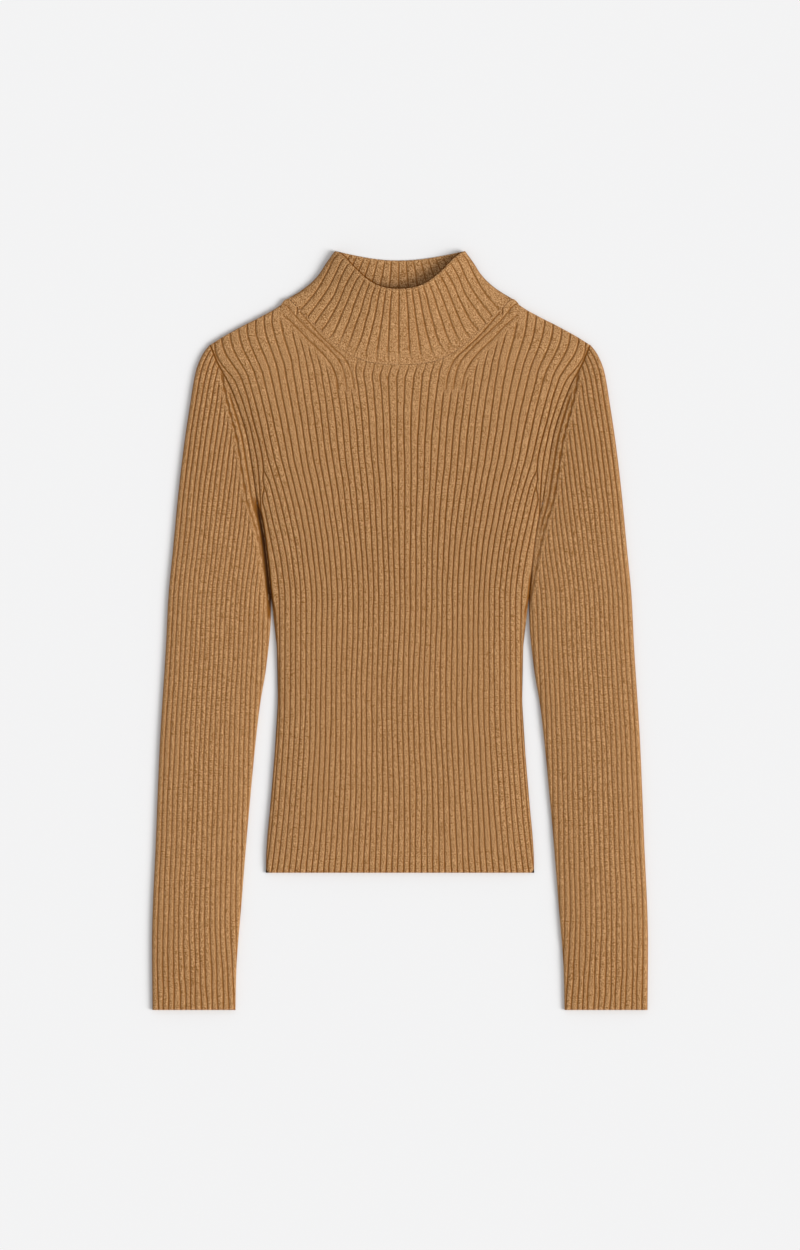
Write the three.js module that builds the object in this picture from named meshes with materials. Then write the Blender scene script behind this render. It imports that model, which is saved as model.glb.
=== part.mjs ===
// Turtleneck sweater in rib knit, laid flat on its back with the front up.
// Millimetres, +Z up, +Y towards the neck, +X towards the wearer's left.
// The origin is on the surface it lies on, under the middle of its outline.
// Plan sizes are given as a distance from the centre line (from) and a height along +Y (y).
import * as THREE from "three";

// Cloth: a wall with ribs raised on its outer side, thick at a rib's crest and thin in its valley.
const VALLEY_WALL = 1.3;
const CREST_WALL = 2.1;
const PLAIN_WALL = 1.95;
const LAYER_GAP = 0.5; // between the two layers of a flattened tube, and between back and front
const SEAM_GAP = 0.36; // between two pieces along a seam
const NECK_GAP = 0.5; // the same along +Y on the neck seam, whose steepest slope is 45 degrees
const MID_HEIGHT = PLAIN_WALL + LAYER_GAP / 2; // height of a side fold above the floor
const EDGE_WALL = 0.9; // a panel's thickness where its side rounds down to the seam
const CREST_STARTS = 0.3; // share of a rib's width, from one valley to the next
const CREST_ENDS = 0.7;

// Body: front and back have the same outline but for the neck.
const BODY_RIBS = 24; // ribs on each side of the centre line, from hem to shoulder
const NECK_RIBS = 13; // those of them that end on the neck seam, the others end on the shoulder
const NECK_CORNER = { from: 111, y: 332 };
const SHOULDER_TIP = { from: 190, y: 285.5 };

// A row for each level of the body, from the hem up. y and from are at the side or armhole edge,
// fan is the rib width there over that at the centre, rise is how far the row has turned from level
// towards the neck and shoulder edge, swell is the share of the ribs' height that stands there.
const BODY_ROWS = [
  { y: -241.5, from: 131.5, fan: 1, rise: 0, swell: 0.6 },
  { y: -235.5, from: 134, fan: 1, rise: 0, swell: 1 },
  { y: -149.5, from: 127.4, fan: 1, rise: 0, swell: 1 },
  { y: -59.5, from: 122, fan: 1, rise: 0, swell: 1 },
  { y: 10.5, from: 125, fan: 1, rise: 0, swell: 1 },
  { y: 30.5, from: 128.6, fan: 1, rise: 0, swell: 1 },
  { y: 70.5, from: 132.8, fan: 1, rise: 0, swell: 1 },
  { y: 110.5, from: 138.4, fan: 1, rise: 0, swell: 1 },
  { y: 126.1, from: 142.3, fan: 0.97, rise: 0, swell: 1 },
  { y: 160.5, from: 147.6, fan: 0.9, rise: 0, swell: 1 },
  { y: 194.5, from: 153.3, fan: 0.84, rise: 0.05, swell: 1 },
  { y: 222.5, from: 161.7, fan: 0.8, rise: 0.2, swell: 1 },
  { y: 246.5, from: 171.2, fan: 0.79, rise: 0.45, swell: 1 },
  { y: 268.5, from: 183.3, fan: 0.78, rise: 0.78, swell: 1 },
  { y: SHOULDER_TIP.y, from: SHOULDER_TIP.from, fan: 0.77, rise: 1, swell: 0.6 },
];
const UNDERARM = BODY_ROWS[8];

// Neck seams, from the corner at the shoulder to the centre line.
const FRONT_NECK = [
  NECK_CORNER,
  { from: 96, y: 316 },
  { from: 82, y: 302.5 },
  { from: 67, y: 288.5 },
  { from: 51, y: 276.5 },
  { from: 34, y: 269 },
  { from: 16, y: 266.2 },
  { from: 0, y: 265.5 },
];
const BACK_NECK = [
  NECK_CORNER,
  { from: 97, y: 321.5 },
  { from: 78, y: 313.5 },
  { from: 52, y: 309.5 },
  { from: 26, y: 308 },
  { from: 0, y: 307.5 },
];

// Sleeve: outer fold, inner fold and rib width at each level, from the cuff up.
const SLEEVE_OUTER = [
  { y: -379.5, from: 247.5 },
  { y: -314.5, from: 248 },
  { y: -206.5, from: 244 },
  { y: -110.5, from: 240 },
  { y: -14.5, from: 234 },
  { y: 33.5, from: 231.6 },
  { y: 81.5, from: 227 },
  { y: 141.5, from: 221.2 },
  { y: 189.5, from: 215.4 },
  { y: 225.5, from: 210 },
  { y: 249.5, from: 206.2 },
  { y: 261.5, from: 203.6 },
  { y: 273.5, from: 198.8 },
  { y: 280, from: 194.9 },
  { y: SHOULDER_TIP.y, from: SHOULDER_TIP.from + SEAM_GAP },
];
const SLEEVE_INNER = [
  { y: -379.5, from: 164.5 },
  { y: -350, from: 164 },
  { y: -266.5, from: 158 },
  { y: -170.5, from: 150 },
  { y: -74.5, from: 140 },
  { y: -38.5, from: 134 },
  { y: 10.5, from: 129.2 },
  { y: 30.5, from: 129.4 },
  { y: 70.5, from: 133.6 },
  { y: 110.5, from: 139.2 },
  { y: UNDERARM.y, from: UNDERARM.from + SEAM_GAP },
];
const SLEEVE_RIB = [
  { y: -379.5, width: 5.45 },
  { y: -269.5, width: 5.15 },
  { y: -169.5, width: 5 },
  { y: 30.5, width: 4.78 },
  { y: 130.5, width: 5 },
  { y: 285.5, width: 5.3 },
];
const SLEEVE_RIBS = 22; // ribs on the upper layer at its widest, counted from the outer fold
// A row for each level of the sleeve. Up to TURN_LEVEL rows lie level, above it they turn by the
// share (turn) towards the armhole seam, which the last row lies on.
const TURN_LEVEL = 10.5;
const SLEEVE_ROWS = [
  { y: -379.5, turn: 0, swell: 0.6 },
  { y: -373.5, turn: 0, swell: 1 },
  { y: -269.5, turn: 0, swell: 1 },
  { y: -169.5, turn: 0, swell: 1 },
  { y: -69.5, turn: 0, swell: 1 },
  { y: TURN_LEVEL, turn: 0, swell: 1 },
  { y: TURN_LEVEL, turn: 0.173, swell: 1 },
  { y: TURN_LEVEL, turn: 0.346, swell: 1 },
  { y: TURN_LEVEL, turn: 0.519, swell: 1 },
  { y: TURN_LEVEL, turn: 0.7, swell: 1 },
  { y: TURN_LEVEL, turn: 0.865, swell: 1 },
  { y: TURN_LEVEL, turn: 0.93, swell: 1 },
  { y: TURN_LEVEL, turn: 0.97, swell: 1 },
  { y: TURN_LEVEL, turn: 1, swell: 0.6 },
];

// Collar: a ring of ribs, flattened, whose front layer lifts off the back one towards the mouth.
const COLLAR_FRONT_RIBS = 12; // on each side of the centre line
const COLLAR_BACK_RIBS = 9;
const MOUTH_LIFT = 10; // of the front rim at the centre line
const FOLD_LIFT = 1.3; // of the side folds at the rim
const COLLAR_RIM = { from: 65, y: 379.5 };
const FRONT_RIM = [
  COLLAR_RIM,
  { from: 57, y: 375 },
  { from: 47, y: 364.5 },
  { from: 36, y: 354 },
  { from: 23, y: 345.5 },
  { from: 10, y: 342 },
  { from: 0, y: 341.5 },
];
const BACK_RIM = [
  COLLAR_RIM,
  { from: 48, y: 375.5 },
  { from: 30, y: 372 },
  { from: 14, y: 370 },
  { from: 0, y: 369.5 },
];
const COLLAR_FOLD = [
  { from: NECK_CORNER.from, y: NECK_CORNER.y + NECK_GAP },
  { from: 99, y: 339.8 },
  { from: 88, y: 348.5 },
  { from: 80, y: 357.5 },
  { from: 74, y: 367 },
  COLLAR_RIM,
];
const COLLAR_INWARDS = new THREE.Vector2(-0.85, -0.53); // from a side fold into the collar
// v is the share of the way up the collar.
const COLLAR_ROWS = [
  { v: 0, swell: 0.6 },
  { v: 0.08, swell: 1 },
  { v: 0.3, swell: 1 },
  { v: 0.55, swell: 1 },
  { v: 0.8, swell: 1 },
  { v: 0.95, swell: 1 },
  { v: 1, swell: 0.6 },
];

const KNIT_COLOUR = 0xa5794e;
const KNIT_ROUGHNESS = 0.95;
const SMALLEST_STEP = 0.45; // columns closer than this to a fold end on it

// Value of a table's column at a level, straight between its rows and flat past its ends.
function valueAt(table, y, column) {
  const next = table.findIndex((row) => row.y >= y);
  if (next === 0) return table[0][column];
  if (next < 0) return table[table.length - 1][column];
  const low = table[next - 1];
  const high = table[next];
  return THREE.MathUtils.mapLinear(y, low.y, high.y, low[column], high[column]);
}

// Smooth half curve through a table's points, in plan.
function halfCurve(table) {
  return new THREE.SplineCurve(table.map((row) => new THREE.Vector2(row.from, row.y)));
}

// Height of a half curve at a distance from the centre line, found by halving.
function heightOn(curve, from) {
  let low = 0;
  let high = 1;
  for (let step = 0; step < 30; step += 1) {
    const middle = (low + high) / 2;
    if (curve.getPoint(middle).x > from) low = middle;
    else high = middle;
  }
  return curve.getPoint(low).y;
}

// Share of the full height that a rounded edge has at a distance from it.
function roundEdge(distance, radius) {
  const short = 1 - Math.min(Math.max(distance / radius, 0), 1);
  return Math.sqrt(1 - short * short);
}

// Column places of ribs from one number to another: valley, start of crest and end of crest.
function ribColumns(first, last) {
  const columns = [];
  for (let rib = first; rib < last; rib += 1) {
    columns.push(rib, rib + CREST_STARTS, rib + CREST_ENDS);
  }
  columns.push(last);
  return columns;
}

// Wall thickness at a rib column: a whole number is a valley, anything else is on the crest.
function ribWall(column, swell) {
  const crest = Number.isInteger(column) ? 0 : 1;
  return THREE.MathUtils.lerp(VALLEY_WALL, CREST_WALL, crest * swell);
}

function mirrored(columns) {
  return [...columns.slice(1).map((rib) => -rib).reverse(), ...columns];
}

// Closed line of points over an upper layer and back under a lower one, which share their ends.
function ringOf(upper, lower) {
  return [...upper, ...lower.reverse().slice(1)];
}

function spreadColumns(first, last, count) {
  return Array.from({ length: count + 1 }, (_, step) =>
    THREE.MathUtils.lerp(first, last, step / count),
  );
}

// Adds a triangle unless two of its corners are one point, as where columns have run out.
function addTriangle(triangles, a, b, c) {
  const least = 1e-6;
  if (a.distanceTo(b) < least || b.distanceTo(c) < least || c.distanceTo(a) < least) return;
  triangles.push(a, b, c);
}

// Skin over a grid of points, each cell cut along its shorter diagonal.
function addSkin(triangles, rows, turned) {
  for (let j = 1; j < rows.length; j += 1) {
    for (let i = 1; i < rows[j].length; i += 1) {
      const [a, b] = [rows[j - 1][i - 1], rows[j - 1][i]];
      const [d, c] = [rows[j][i - 1], rows[j][i]];
      const cell = turned ? [a, d, c, b] : [a, b, c, d];
      if (cell[0].distanceTo(cell[2]) <= cell[1].distanceTo(cell[3])) {
        addTriangle(triangles, cell[0], cell[1], cell[2]);
        addTriangle(triangles, cell[0], cell[2], cell[3]);
      } else {
        addTriangle(triangles, cell[0], cell[1], cell[3]);
        addTriangle(triangles, cell[1], cell[2], cell[3]);
      }
    }
  }
}

// Shares of its length in plan at which a line of points has its points.
function lengthShares(points) {
  const lengths = [0];
  for (let i = 1; i < points.length; i += 1) {
    const step = Math.hypot(points[i].x - points[i - 1].x, points[i].y - points[i - 1].y);
    lengths.push(lengths[i - 1] + step);
  }
  return lengths.map((length) => length / lengths[lengths.length - 1]);
}

// Cut edge between the outer and the inner skin, which may have different numbers of points.
function addRim(triangles, outer, inner, turned) {
  const outerShares = lengthShares(outer);
  const innerShares = lengthShares(inner);
  let i = 0;
  let k = 0;
  while (i < outer.length - 1 || k < inner.length - 1) {
    const outerNext = k === inner.length - 1 || outerShares[i + 1] <= innerShares[k + 1];
    const corner = i < outer.length - 1 && outerNext ? outer[i + 1] : inner[k + 1];
    if (turned) addTriangle(triangles, outer[i], inner[k], corner);
    else addTriangle(triangles, outer[i], corner, inner[k]);
    if (corner === outer[i + 1]) i += 1;
    else k += 1;
  }
}

// Six times the volume that a closed set of triangles holds, positive if they face out.
function signedVolume(triangles) {
  let sum = 0;
  for (let i = 0; i < triangles.length; i += 3) {
    const cross = new THREE.Vector3().crossVectors(triangles[i + 1], triangles[i + 2]);
    sum += triangles[i].dot(cross);
  }
  return sum;
}

// Closed wall between an outer and an inner skin with the same number of rows. A panel also has
// two side edges, a ring's rows end where they start.
function wallGeometry(outer, inner, isRing) {
  const triangles = [];
  addSkin(triangles, outer, false);
  addSkin(triangles, inner, true);
  addRim(triangles, outer[0], inner[0], true);
  addRim(triangles, outer[outer.length - 1], inner[inner.length - 1], false);
  if (!isRing) {
    addSkin(triangles, outer.map((row, j) => [inner[j][0], row[0]]), false);
    addSkin(triangles, outer.map((row, j) => [row[row.length - 1], inner[j].at(-1)]), false);
  }
  const corners = signedVolume(triangles) < 0 ? triangles.reverse() : triangles;
  return new THREE.BufferGeometry().setFromPoints(corners);
}

function knitMesh(name, geometry) {
  geometry.computeVertexNormals();
  const material = new THREE.MeshStandardMaterial({
    color: KNIT_COLOUR,
    roughness: KNIT_ROUGHNESS,
    metalness: 0,
  });
  const mesh = new THREE.Mesh(geometry, material);
  mesh.name = name;
  return mesh;
}

// Distance from the centre line of a rib line on the body: widths change evenly from the centre
// rib to the side rib, and along the top edge the neck corner lies on a rib line.
function bodyFrom(rib, row) {
  const size = Math.abs(rib);
  if (row.rise === 1) {
    const past = (size - NECK_RIBS) / (BODY_RIBS - NECK_RIBS);
    if (past <= 0) return (NECK_CORNER.from * size) / NECK_RIBS;
    return THREE.MathUtils.lerp(NECK_CORNER.from, SHOULDER_TIP.from, past);
  }
  const centre = (2 * row.from) / (BODY_RIBS * (1 + row.fan));
  return centre * (size - ((1 - row.fan) * size * size) / (2 * BODY_RIBS));
}

// Point in plan on a body panel, given its neck curve.
function bodyPlan(rib, row, neck) {
  const from = bodyFrom(rib, row);
  const top = BODY_ROWS[BODY_ROWS.length - 1];
  const topFrom = bodyFrom(rib, top);
  const topY =
    topFrom > NECK_CORNER.from
      ? THREE.MathUtils.mapLinear(
          topFrom, NECK_CORNER.from, SHOULDER_TIP.from, NECK_CORNER.y, SHOULDER_TIP.y,
        )
      : heightOn(neck, topFrom);
  const y = row.y + row.rise * (topY - SHOULDER_TIP.y);
  return { x: Math.sign(rib) * from, y };
}

// Skin of a body panel: height says how high the point of a rib column lies.
function bodySkin(columns, neck, height) {
  return BODY_ROWS.map((row) =>
    columns.map((rib) => {
      const { x, y } = bodyPlan(rib, row, neck);
      return new THREE.Vector3(x, y, height(rib, row));
    }),
  );
}

// Columns of a plain panel face: each rib line along the neck, every third of them outside it.
function plainBodyColumns() {
  const side = [15, 18, 21, BODY_RIBS - CREST_STARTS, BODY_RIBS];
  return mirrored([...spreadColumns(0, NECK_RIBS, NECK_RIBS), ...side]);
}

function makeFront() {
  const base = PLAIN_WALL + LAYER_GAP;
  const neck = halfCurve(FRONT_NECK);
  const columns = mirrored(ribColumns(0, BODY_RIBS));
  const outer = bodySkin(columns, neck, (rib, row) => {
    const wall = Math.abs(rib) === BODY_RIBS ? EDGE_WALL : ribWall(rib, row.swell);
    return base + wall;
  });
  const inner = bodySkin(plainBodyColumns(), neck, () => base);
  return knitMesh("front", wallGeometry(outer, inner, false));
}

function makeBack() {
  const neck = halfCurve(BACK_NECK);
  const columns = plainBodyColumns();
  const outer = bodySkin(columns, neck, (rib) =>
    Math.abs(rib) === BODY_RIBS ? PLAIN_WALL - EDGE_WALL : 0,
  );
  const inner = bodySkin(columns, neck, () => PLAIN_WALL);
  return knitMesh("back", wallGeometry(outer, inner, false));
}

// How far a sleeve reaches in from its outer fold along the armhole seam, in ribs.
function ribOnSeam(y) {
  const seam = valueAt(BODY_ROWS, y, "from") + SEAM_GAP;
  return (valueAt(SLEEVE_OUTER, y, "from") - seam) / valueAt(SLEEVE_RIB, y, "width");
}

// Level at which a sleeve rib meets the armhole seam, found by halving.
function seamLevel(rib) {
  let low = UNDERARM.y;
  let high = SHOULDER_TIP.y;
  for (let step = 0; step < 40; step += 1) {
    const middle = (low + high) / 2;
    if (ribOnSeam(middle) > rib) low = middle;
    else high = middle;
  }
  return low;
}

// Point in plan on a sleeve, as a distance from the centre line, a level and a distance from the
// nearer edge of the skin, which lies inset from both folds. A rib that would pass the inner edge
// has ended on the line that lies hug before it.
function sleevePlan(rib, row, inset, hug) {
  const lastLevel = UNDERARM.y + inset + hug;
  const firstRib = inset / valueAt(SLEEVE_RIB, SHOULDER_TIP.y, "width");
  const topLevel = Math.max(seamLevel(Math.max(rib, firstRib)), lastLevel);
  const y = THREE.MathUtils.lerp(row.y, topLevel, row.turn);
  const outerEdge = valueAt(SLEEVE_OUTER, y, "from") - inset;
  if (row.turn === 1) {
    const from = valueAt(BODY_ROWS, y, "from") + SEAM_GAP;
    const fromEdge = Math.min(outerEdge - from, hug + y - lastLevel);
    return { from, y, fromEdge, ended: y === lastLevel };
  }
  const ribLine = outerEdge + inset - rib * valueAt(SLEEVE_RIB, y, "width");
  const from = Math.min(ribLine, outerEdge);
  if (y > lastLevel) {
    const fromCorner = Math.hypot(from - UNDERARM.from, y - UNDERARM.y) - inset;
    return { from, y, fromEdge: Math.min(outerEdge - from, fromCorner), ended: false };
  }
  const innerEdge = valueAt(SLEEVE_INNER, y, "from") + inset;
  const ended = from < innerEdge + hug + SMALLEST_STEP;
  const held = ended ? innerEdge + hug : from;
  return { from: held, y, fromEdge: Math.min(outerEdge - held, held - innerEdge), ended };
}

// One layer of a sleeve's skin, from the outer fold to the inner one. The last column lies on the
// inner edge, and the one before it on a line that follows that edge.
function sleeveLayer(side, columns, row, inset, hug, height) {
  const places = [...columns.map((rib) => ({ rib, hug })), { rib: SLEEVE_RIBS, hug: 0 }];
  return places.map((place) => {
    const plan = sleevePlan(place.rib, row, inset, place.hug);
    const z = height(plan.ended ? SLEEVE_RIBS : place.rib, row, plan.fromEdge);
    return new THREE.Vector3(side * plan.from, plan.y, z);
  });
}

function makeSleeve(name, side) {
  const seamRibs = BODY_ROWS.slice(9, -1).map((row) => ribOnSeam(row.y)).reverse();
  const upper = ribColumns(0, SLEEVE_RIBS);
  const under = [0, 0.4, 1.6, ...seamRibs, 17, 19.5, SLEEVE_RIBS];
  const hollow = [0, 1.6, ...seamRibs, 17, 19.5, SLEEVE_RIBS];
  const outerHug = 1.4;
  const hollowHug = 0.8;
  const upperHeight = (rib, row, fromEdge) => {
    const full = LAYER_GAP / 2 + ribWall(rib, row.swell);
    return MID_HEIGHT + full * roundEdge(fromEdge, MID_HEIGHT);
  };
  const underHeight = (rib, row, fromEdge) =>
    MID_HEIGHT * (1 - roundEdge(fromEdge, outerHug));
  const hollowHeight = (up) => (rib, row, fromEdge) =>
    MID_HEIGHT + (up * LAYER_GAP * roundEdge(fromEdge, hollowHug)) / 2;
  const outer = SLEEVE_ROWS.map((row) =>
    ringOf(
      sleeveLayer(side, upper, row, 0, outerHug, upperHeight),
      sleeveLayer(side, under, row, 0, outerHug, underHeight),
    ),
  );
  const inner = SLEEVE_ROWS.map((row) =>
    ringOf(
      sleeveLayer(side, hollow, row, PLAIN_WALL, hollowHug, hollowHeight(1)),
      sleeveLayer(side, hollow, row, PLAIN_WALL, hollowHug, hollowHeight(-1)),
    ),
  );
  return knitMesh(name, wallGeometry(outer, inner, true));
}

// Point in plan on a collar layer, straight between seam and rim. u runs from 0 on the centre line
// to 1 on the side fold, v from the neck seam to the rim.
function collarPlan(u, v, curves) {
  const low = curves.seam.getPointAt(1 - u);
  low.y += NECK_GAP;
  return low.lerp(curves.rim.getPointAt(1 - u), v);
}

// End of a collar row, on the side fold or inset from it.
function collarEnd(v, inset) {
  return halfCurve(COLLAR_FOLD).getPointAt(v).addScaledVector(COLLAR_INWARDS, inset);
}

// One layer of the collar from the fold on the wearer's right to that on the left. Towards the
// fold its straight rows bend to end on it.
function collarLayer(columns, ribs, row, curves, inset, height) {
  const halfLength = THREE.MathUtils.lerp(curves.seam.getLength(), curves.rim.getLength(), row.v);
  const reach = 1 - inset / halfLength;
  const bend = collarEnd(row.v, inset).sub(collarPlan(reach, row.v, curves));
  return columns.map((rib) => {
    const u = Math.abs(rib) / ribs;
    const plan = collarPlan(u * reach, row.v, curves).addScaledVector(bend, u ** 3);
    const fromEdge = (1 - u) * reach * halfLength;
    return new THREE.Vector3(Math.sign(rib) * plan.x, plan.y, height(rib, row, u, fromEdge));
  });
}

function makeCollar() {
  const front = { seam: halfCurve(FRONT_NECK), rim: halfCurve(FRONT_RIM) };
  const back = { seam: halfCurve(BACK_NECK), rim: halfCurve(BACK_RIM) };
  const frontRibs = COLLAR_FRONT_RIBS;
  const backRibs = COLLAR_BACK_RIBS;
  const foldHeight = (row) => MID_HEIGHT + FOLD_LIFT * row.v;
  const frontBase = (row, u) =>
    foldHeight(row) + LAYER_GAP / 2 + MOUTH_LIFT * row.v ** 1.6 * (1 - u ** 2.4);
  const frontOuter = (rib, row, u, fromEdge) => {
    const top = frontBase(row, u) + ribWall(rib, row.swell);
    return THREE.MathUtils.lerp(foldHeight(row), top, roundEdge(fromEdge, foldHeight(row)));
  };
  const frontInner = (rib, row, u, fromEdge) =>
    THREE.MathUtils.lerp(foldHeight(row), frontBase(row, u), roundEdge(fromEdge, 2));
  const backOuter = (rib, row, u, fromEdge) =>
    foldHeight(row) * (1 - roundEdge(fromEdge, foldHeight(row)));
  const backInner = (rib, row, u, fromEdge) => {
    const wall = ribWall(rib, row.swell) + PLAIN_WALL - CREST_WALL;
    return THREE.MathUtils.lerp(foldHeight(row), wall, roundEdge(fromEdge, 2));
  };
  const plainBack = mirrored([0, 1.5, 3, 4.5, 6, 7.5, 8.7, backRibs]);
  const plainFront = mirrored(spreadColumns(0, frontRibs, 10));
  const outer = COLLAR_ROWS.map((row) =>
    ringOf(
      collarLayer(mirrored(ribColumns(0, frontRibs)), frontRibs, row, front, 0, frontOuter),
      collarLayer(plainBack, backRibs, row, back, 0, backOuter),
    ),
  );
  const inner = COLLAR_ROWS.map((row) =>
    ringOf(
      collarLayer(plainFront, frontRibs, row, front, PLAIN_WALL, frontInner),
      collarLayer(mirrored(ribColumns(0, backRibs)), backRibs, row, back, PLAIN_WALL, backInner),
    ),
  );
  return knitMesh("collar", wallGeometry(outer, inner, true));
}

const sweater = new THREE.Group();
sweater.add(
  makeBack(),
  makeFront(),
  makeSleeve("sleeve_left", 1),
  makeSleeve("sleeve_right", -1),
  makeCollar(),
);

export default sweater;
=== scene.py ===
"""Turtleneck sweater in rib knit, laid flat on its back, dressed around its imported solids.

Plan sizes are in millimetres: from is a distance from the centre line and y a height towards the
neck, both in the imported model's frame. Meshes are made in metres.
"""

import logging
import math
from collections.abc import Sequence
from dataclasses import dataclass, field
from enum import Enum

import bpy
import numpy as np
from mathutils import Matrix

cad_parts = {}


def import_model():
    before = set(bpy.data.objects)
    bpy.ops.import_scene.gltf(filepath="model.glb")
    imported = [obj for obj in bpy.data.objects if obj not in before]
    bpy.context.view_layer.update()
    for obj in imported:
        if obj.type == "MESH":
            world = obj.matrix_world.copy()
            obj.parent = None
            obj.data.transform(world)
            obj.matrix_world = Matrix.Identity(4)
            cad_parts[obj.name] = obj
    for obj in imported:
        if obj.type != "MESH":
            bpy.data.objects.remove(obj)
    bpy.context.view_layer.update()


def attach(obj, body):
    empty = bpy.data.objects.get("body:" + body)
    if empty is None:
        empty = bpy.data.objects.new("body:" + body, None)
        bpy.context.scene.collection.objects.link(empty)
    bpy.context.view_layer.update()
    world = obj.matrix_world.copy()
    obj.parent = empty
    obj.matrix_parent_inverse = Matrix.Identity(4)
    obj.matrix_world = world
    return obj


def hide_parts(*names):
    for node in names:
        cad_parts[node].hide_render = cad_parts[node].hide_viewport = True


Array = np.ndarray
Points = Sequence[tuple[float, float]]

LOG = logging.getLogger("sweater")
MM = 0.001
FLOOR_COLOUR = (0.845, 0.845, 0.849)

# Layers of a flattened tube, from the floor up.
PLAIN_WALL = 1.95
LAYER_GAP = 0.5
MID_HEIGHT = PLAIN_WALL + LAYER_GAP / 2
FRONT_BASE = PLAIN_WALL + LAYER_GAP
CREST_WALL = 2.15
VALLEY_WALL = 0.7

# Gaps between pieces, the usual radius of a fold and of an open edge, how far inside a fold an
# inner skin ends, and how far it sinks in the cleft or rises where body and sleeve press.
SEAM_GAP = 0.06
NECK_GAP = 0.12
FOLD_RADIUS = 2.6
EDGE_RADIUS = 1.6
INNER_INSET = PLAIN_WALL - 0.6
CLEFT_DROP = 1.45
PRESSED_RISE = 1.5

# Depth of the underside's valleys, half their width, and the height of a course of stitches.
UNDER_GROOVE = 0.7
UNDER_REACH = 1.2
COURSE = 2.4

# Groove value for the painted shadow in the deepest part of the cleft; a rib's valley is 1.
CLEFT_SHADOW_GROOVE = 2.0

UNDERARM_Y = 126.1
SHOULDER_TIP = (190.0, 285.5)
NECK_CORNER = (111.0, 332.0)
TURN_LEVEL = 10.5
HEM_Y = -242.3
CUFF_Y = -379.5

# Column places inside one rib, from a valley at 0 to the next at 1, close together at the valley.
FINE_SHARES = (0.0, 0.055, 0.12, 0.2, 0.33, 0.5, 0.67, 0.8, 0.88, 0.945)
UNDER_SHARES = (0.0, 0.2, 0.5, 0.8)

FRONT_NECK = (
    (111, 332), (96, 316), (82, 302.5), (67, 288.5), (51, 276.5), (34, 269), (16, 266.2), (0, 265.5),
)
BACK_NECK = ((111, 332), (97, 321.5), (78, 313.5), (52, 309.5), (26, 308), (0, 307.5))


def smoothstep(x: Array | float) -> Array:
    """Ramp from 0 to 1 with level ends: 3x squared minus 2x cubed of x held between 0 and 1."""
    held = np.clip(x, 0.0, 1.0)
    return held * held * (3.0 - 2.0 * held)


def round_edge(distance: Array, radius: Array | float) -> Array:
    """Share of full height at a distance from a rounded edge: a quarter circle of that radius."""
    short = 1.0 - np.clip(distance / radius, 0.0, 1.0)
    return np.sqrt(1.0 - short * short)


@dataclass(frozen=True)
class Line:
    """A smooth line through a table of (place, value) pairs whose places rise."""

    table: Points

    def __call__(self, x: Array) -> Array:
        """Value at each place.

        Between two rows the value is a cubic whose end slopes are the weighted harmonic mean of
        the chords beside each row, and 0 where those chords turn, so it never overshoots.

        Args:
            x: places, of any shape.

        Returns:
            The values, flat past the table's ends.
        """
        places, values = np.array(self.table, float).T
        steps = np.diff(places)
        chords = np.diff(values) / steps
        before, after = chords[:-1], chords[1:]
        near, far = 2 * steps[1:] + steps[:-1], steps[1:] + 2 * steps[:-1]
        same_way = before * after > 0
        safe_before = np.where(same_way, before, 1.0)
        safe_after = np.where(same_way, after, 1.0)
        mean = (near + far) / (near / safe_before + far / safe_after)
        slopes = np.concatenate([chords[:1], np.where(same_way, mean, 0.0), chords[-1:]])
        held = np.clip(x, places[0], places[-1])
        row = np.clip(np.searchsorted(places, held, side="right") - 1, 0, len(steps) - 1)
        t = (held - places[row]) / steps[row]
        low, high, step = values[row], values[row + 1], steps[row]
        rise = (3 - 2 * t) * t * t
        bend = t * (1 - t) * step * ((1 - t) * slopes[row] - t * slopes[row + 1])
        return low + (high - low) * rise + bend

    def slope(self, x: Array) -> Array:
        """Slope at each place, from the values 1 mm to either side."""
        return (self(x + 1.0) - self(x - 1.0)) / 2.0


class Curve:
    """A smooth plan curve through a table of points, read by its share of the length."""

    def __init__(self, table: Points) -> None:
        """Stores a Catmull-Rom curve as a fine line of points with their lengths.

        Args:
            table: points in plan.
        """
        ends = np.array(table, float)
        padded = np.vstack([2 * ends[0] - ends[1], ends, 2 * ends[-1] - ends[-2]])
        t = np.linspace(0.0, 1.0, 24, endpoint=False)[None, :, None]
        a, b, c, d = (padded[i : len(padded) - 3 + i, None, :] for i in range(4))
        cubic = 2 * b + (c - a) * t + (2 * a - 5 * b + 4 * c - d) * t**2
        cubic = (cubic + (3 * b - a - 3 * c + d) * t**3) / 2
        self.line = np.vstack([cubic.reshape(-1, 2), ends[-1:]])
        steps = np.hypot(*np.diff(self.line, axis=0).T)
        self.lengths = np.concatenate([[0.0], np.cumsum(steps)])

    @property
    def length(self) -> float:
        """Whole length in plan."""
        return float(self.lengths[-1])

    def at(self, share: Array) -> Array:
        """Points at shares of the length, with a last axis of two."""
        place = np.asarray(share) * self.length
        return np.stack([np.interp(place, self.lengths, self.line[:, i]) for i in (0, 1)], -1)

    def height_over(self, x: Array) -> Array:
        """Second coordinate where the first is x, for a curve whose first coordinate is monotone."""
        order = np.argsort(self.line[:, 0])
        return np.interp(x, self.line[order, 0], self.line[order, 1])

    def distance(self, x: Array, y: Array) -> Array:
        """Distance in plan from each point to the curve, as the least over its fine points."""
        flat = np.stack([np.ravel(x), np.ravel(y)], -1)
        best = np.full(len(flat), np.inf)
        for start, end in zip(self.line[:-1:3], self.line[3::3], strict=False):
            along = end - start
            share = np.clip((flat - start) @ along / (along @ along), 0.0, 1.0)
            gap = flat - start - share[:, None] * along
            best = np.minimum(best, np.hypot(gap[:, 0], gap[:, 1]))
        return best.reshape(np.shape(x))


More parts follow.
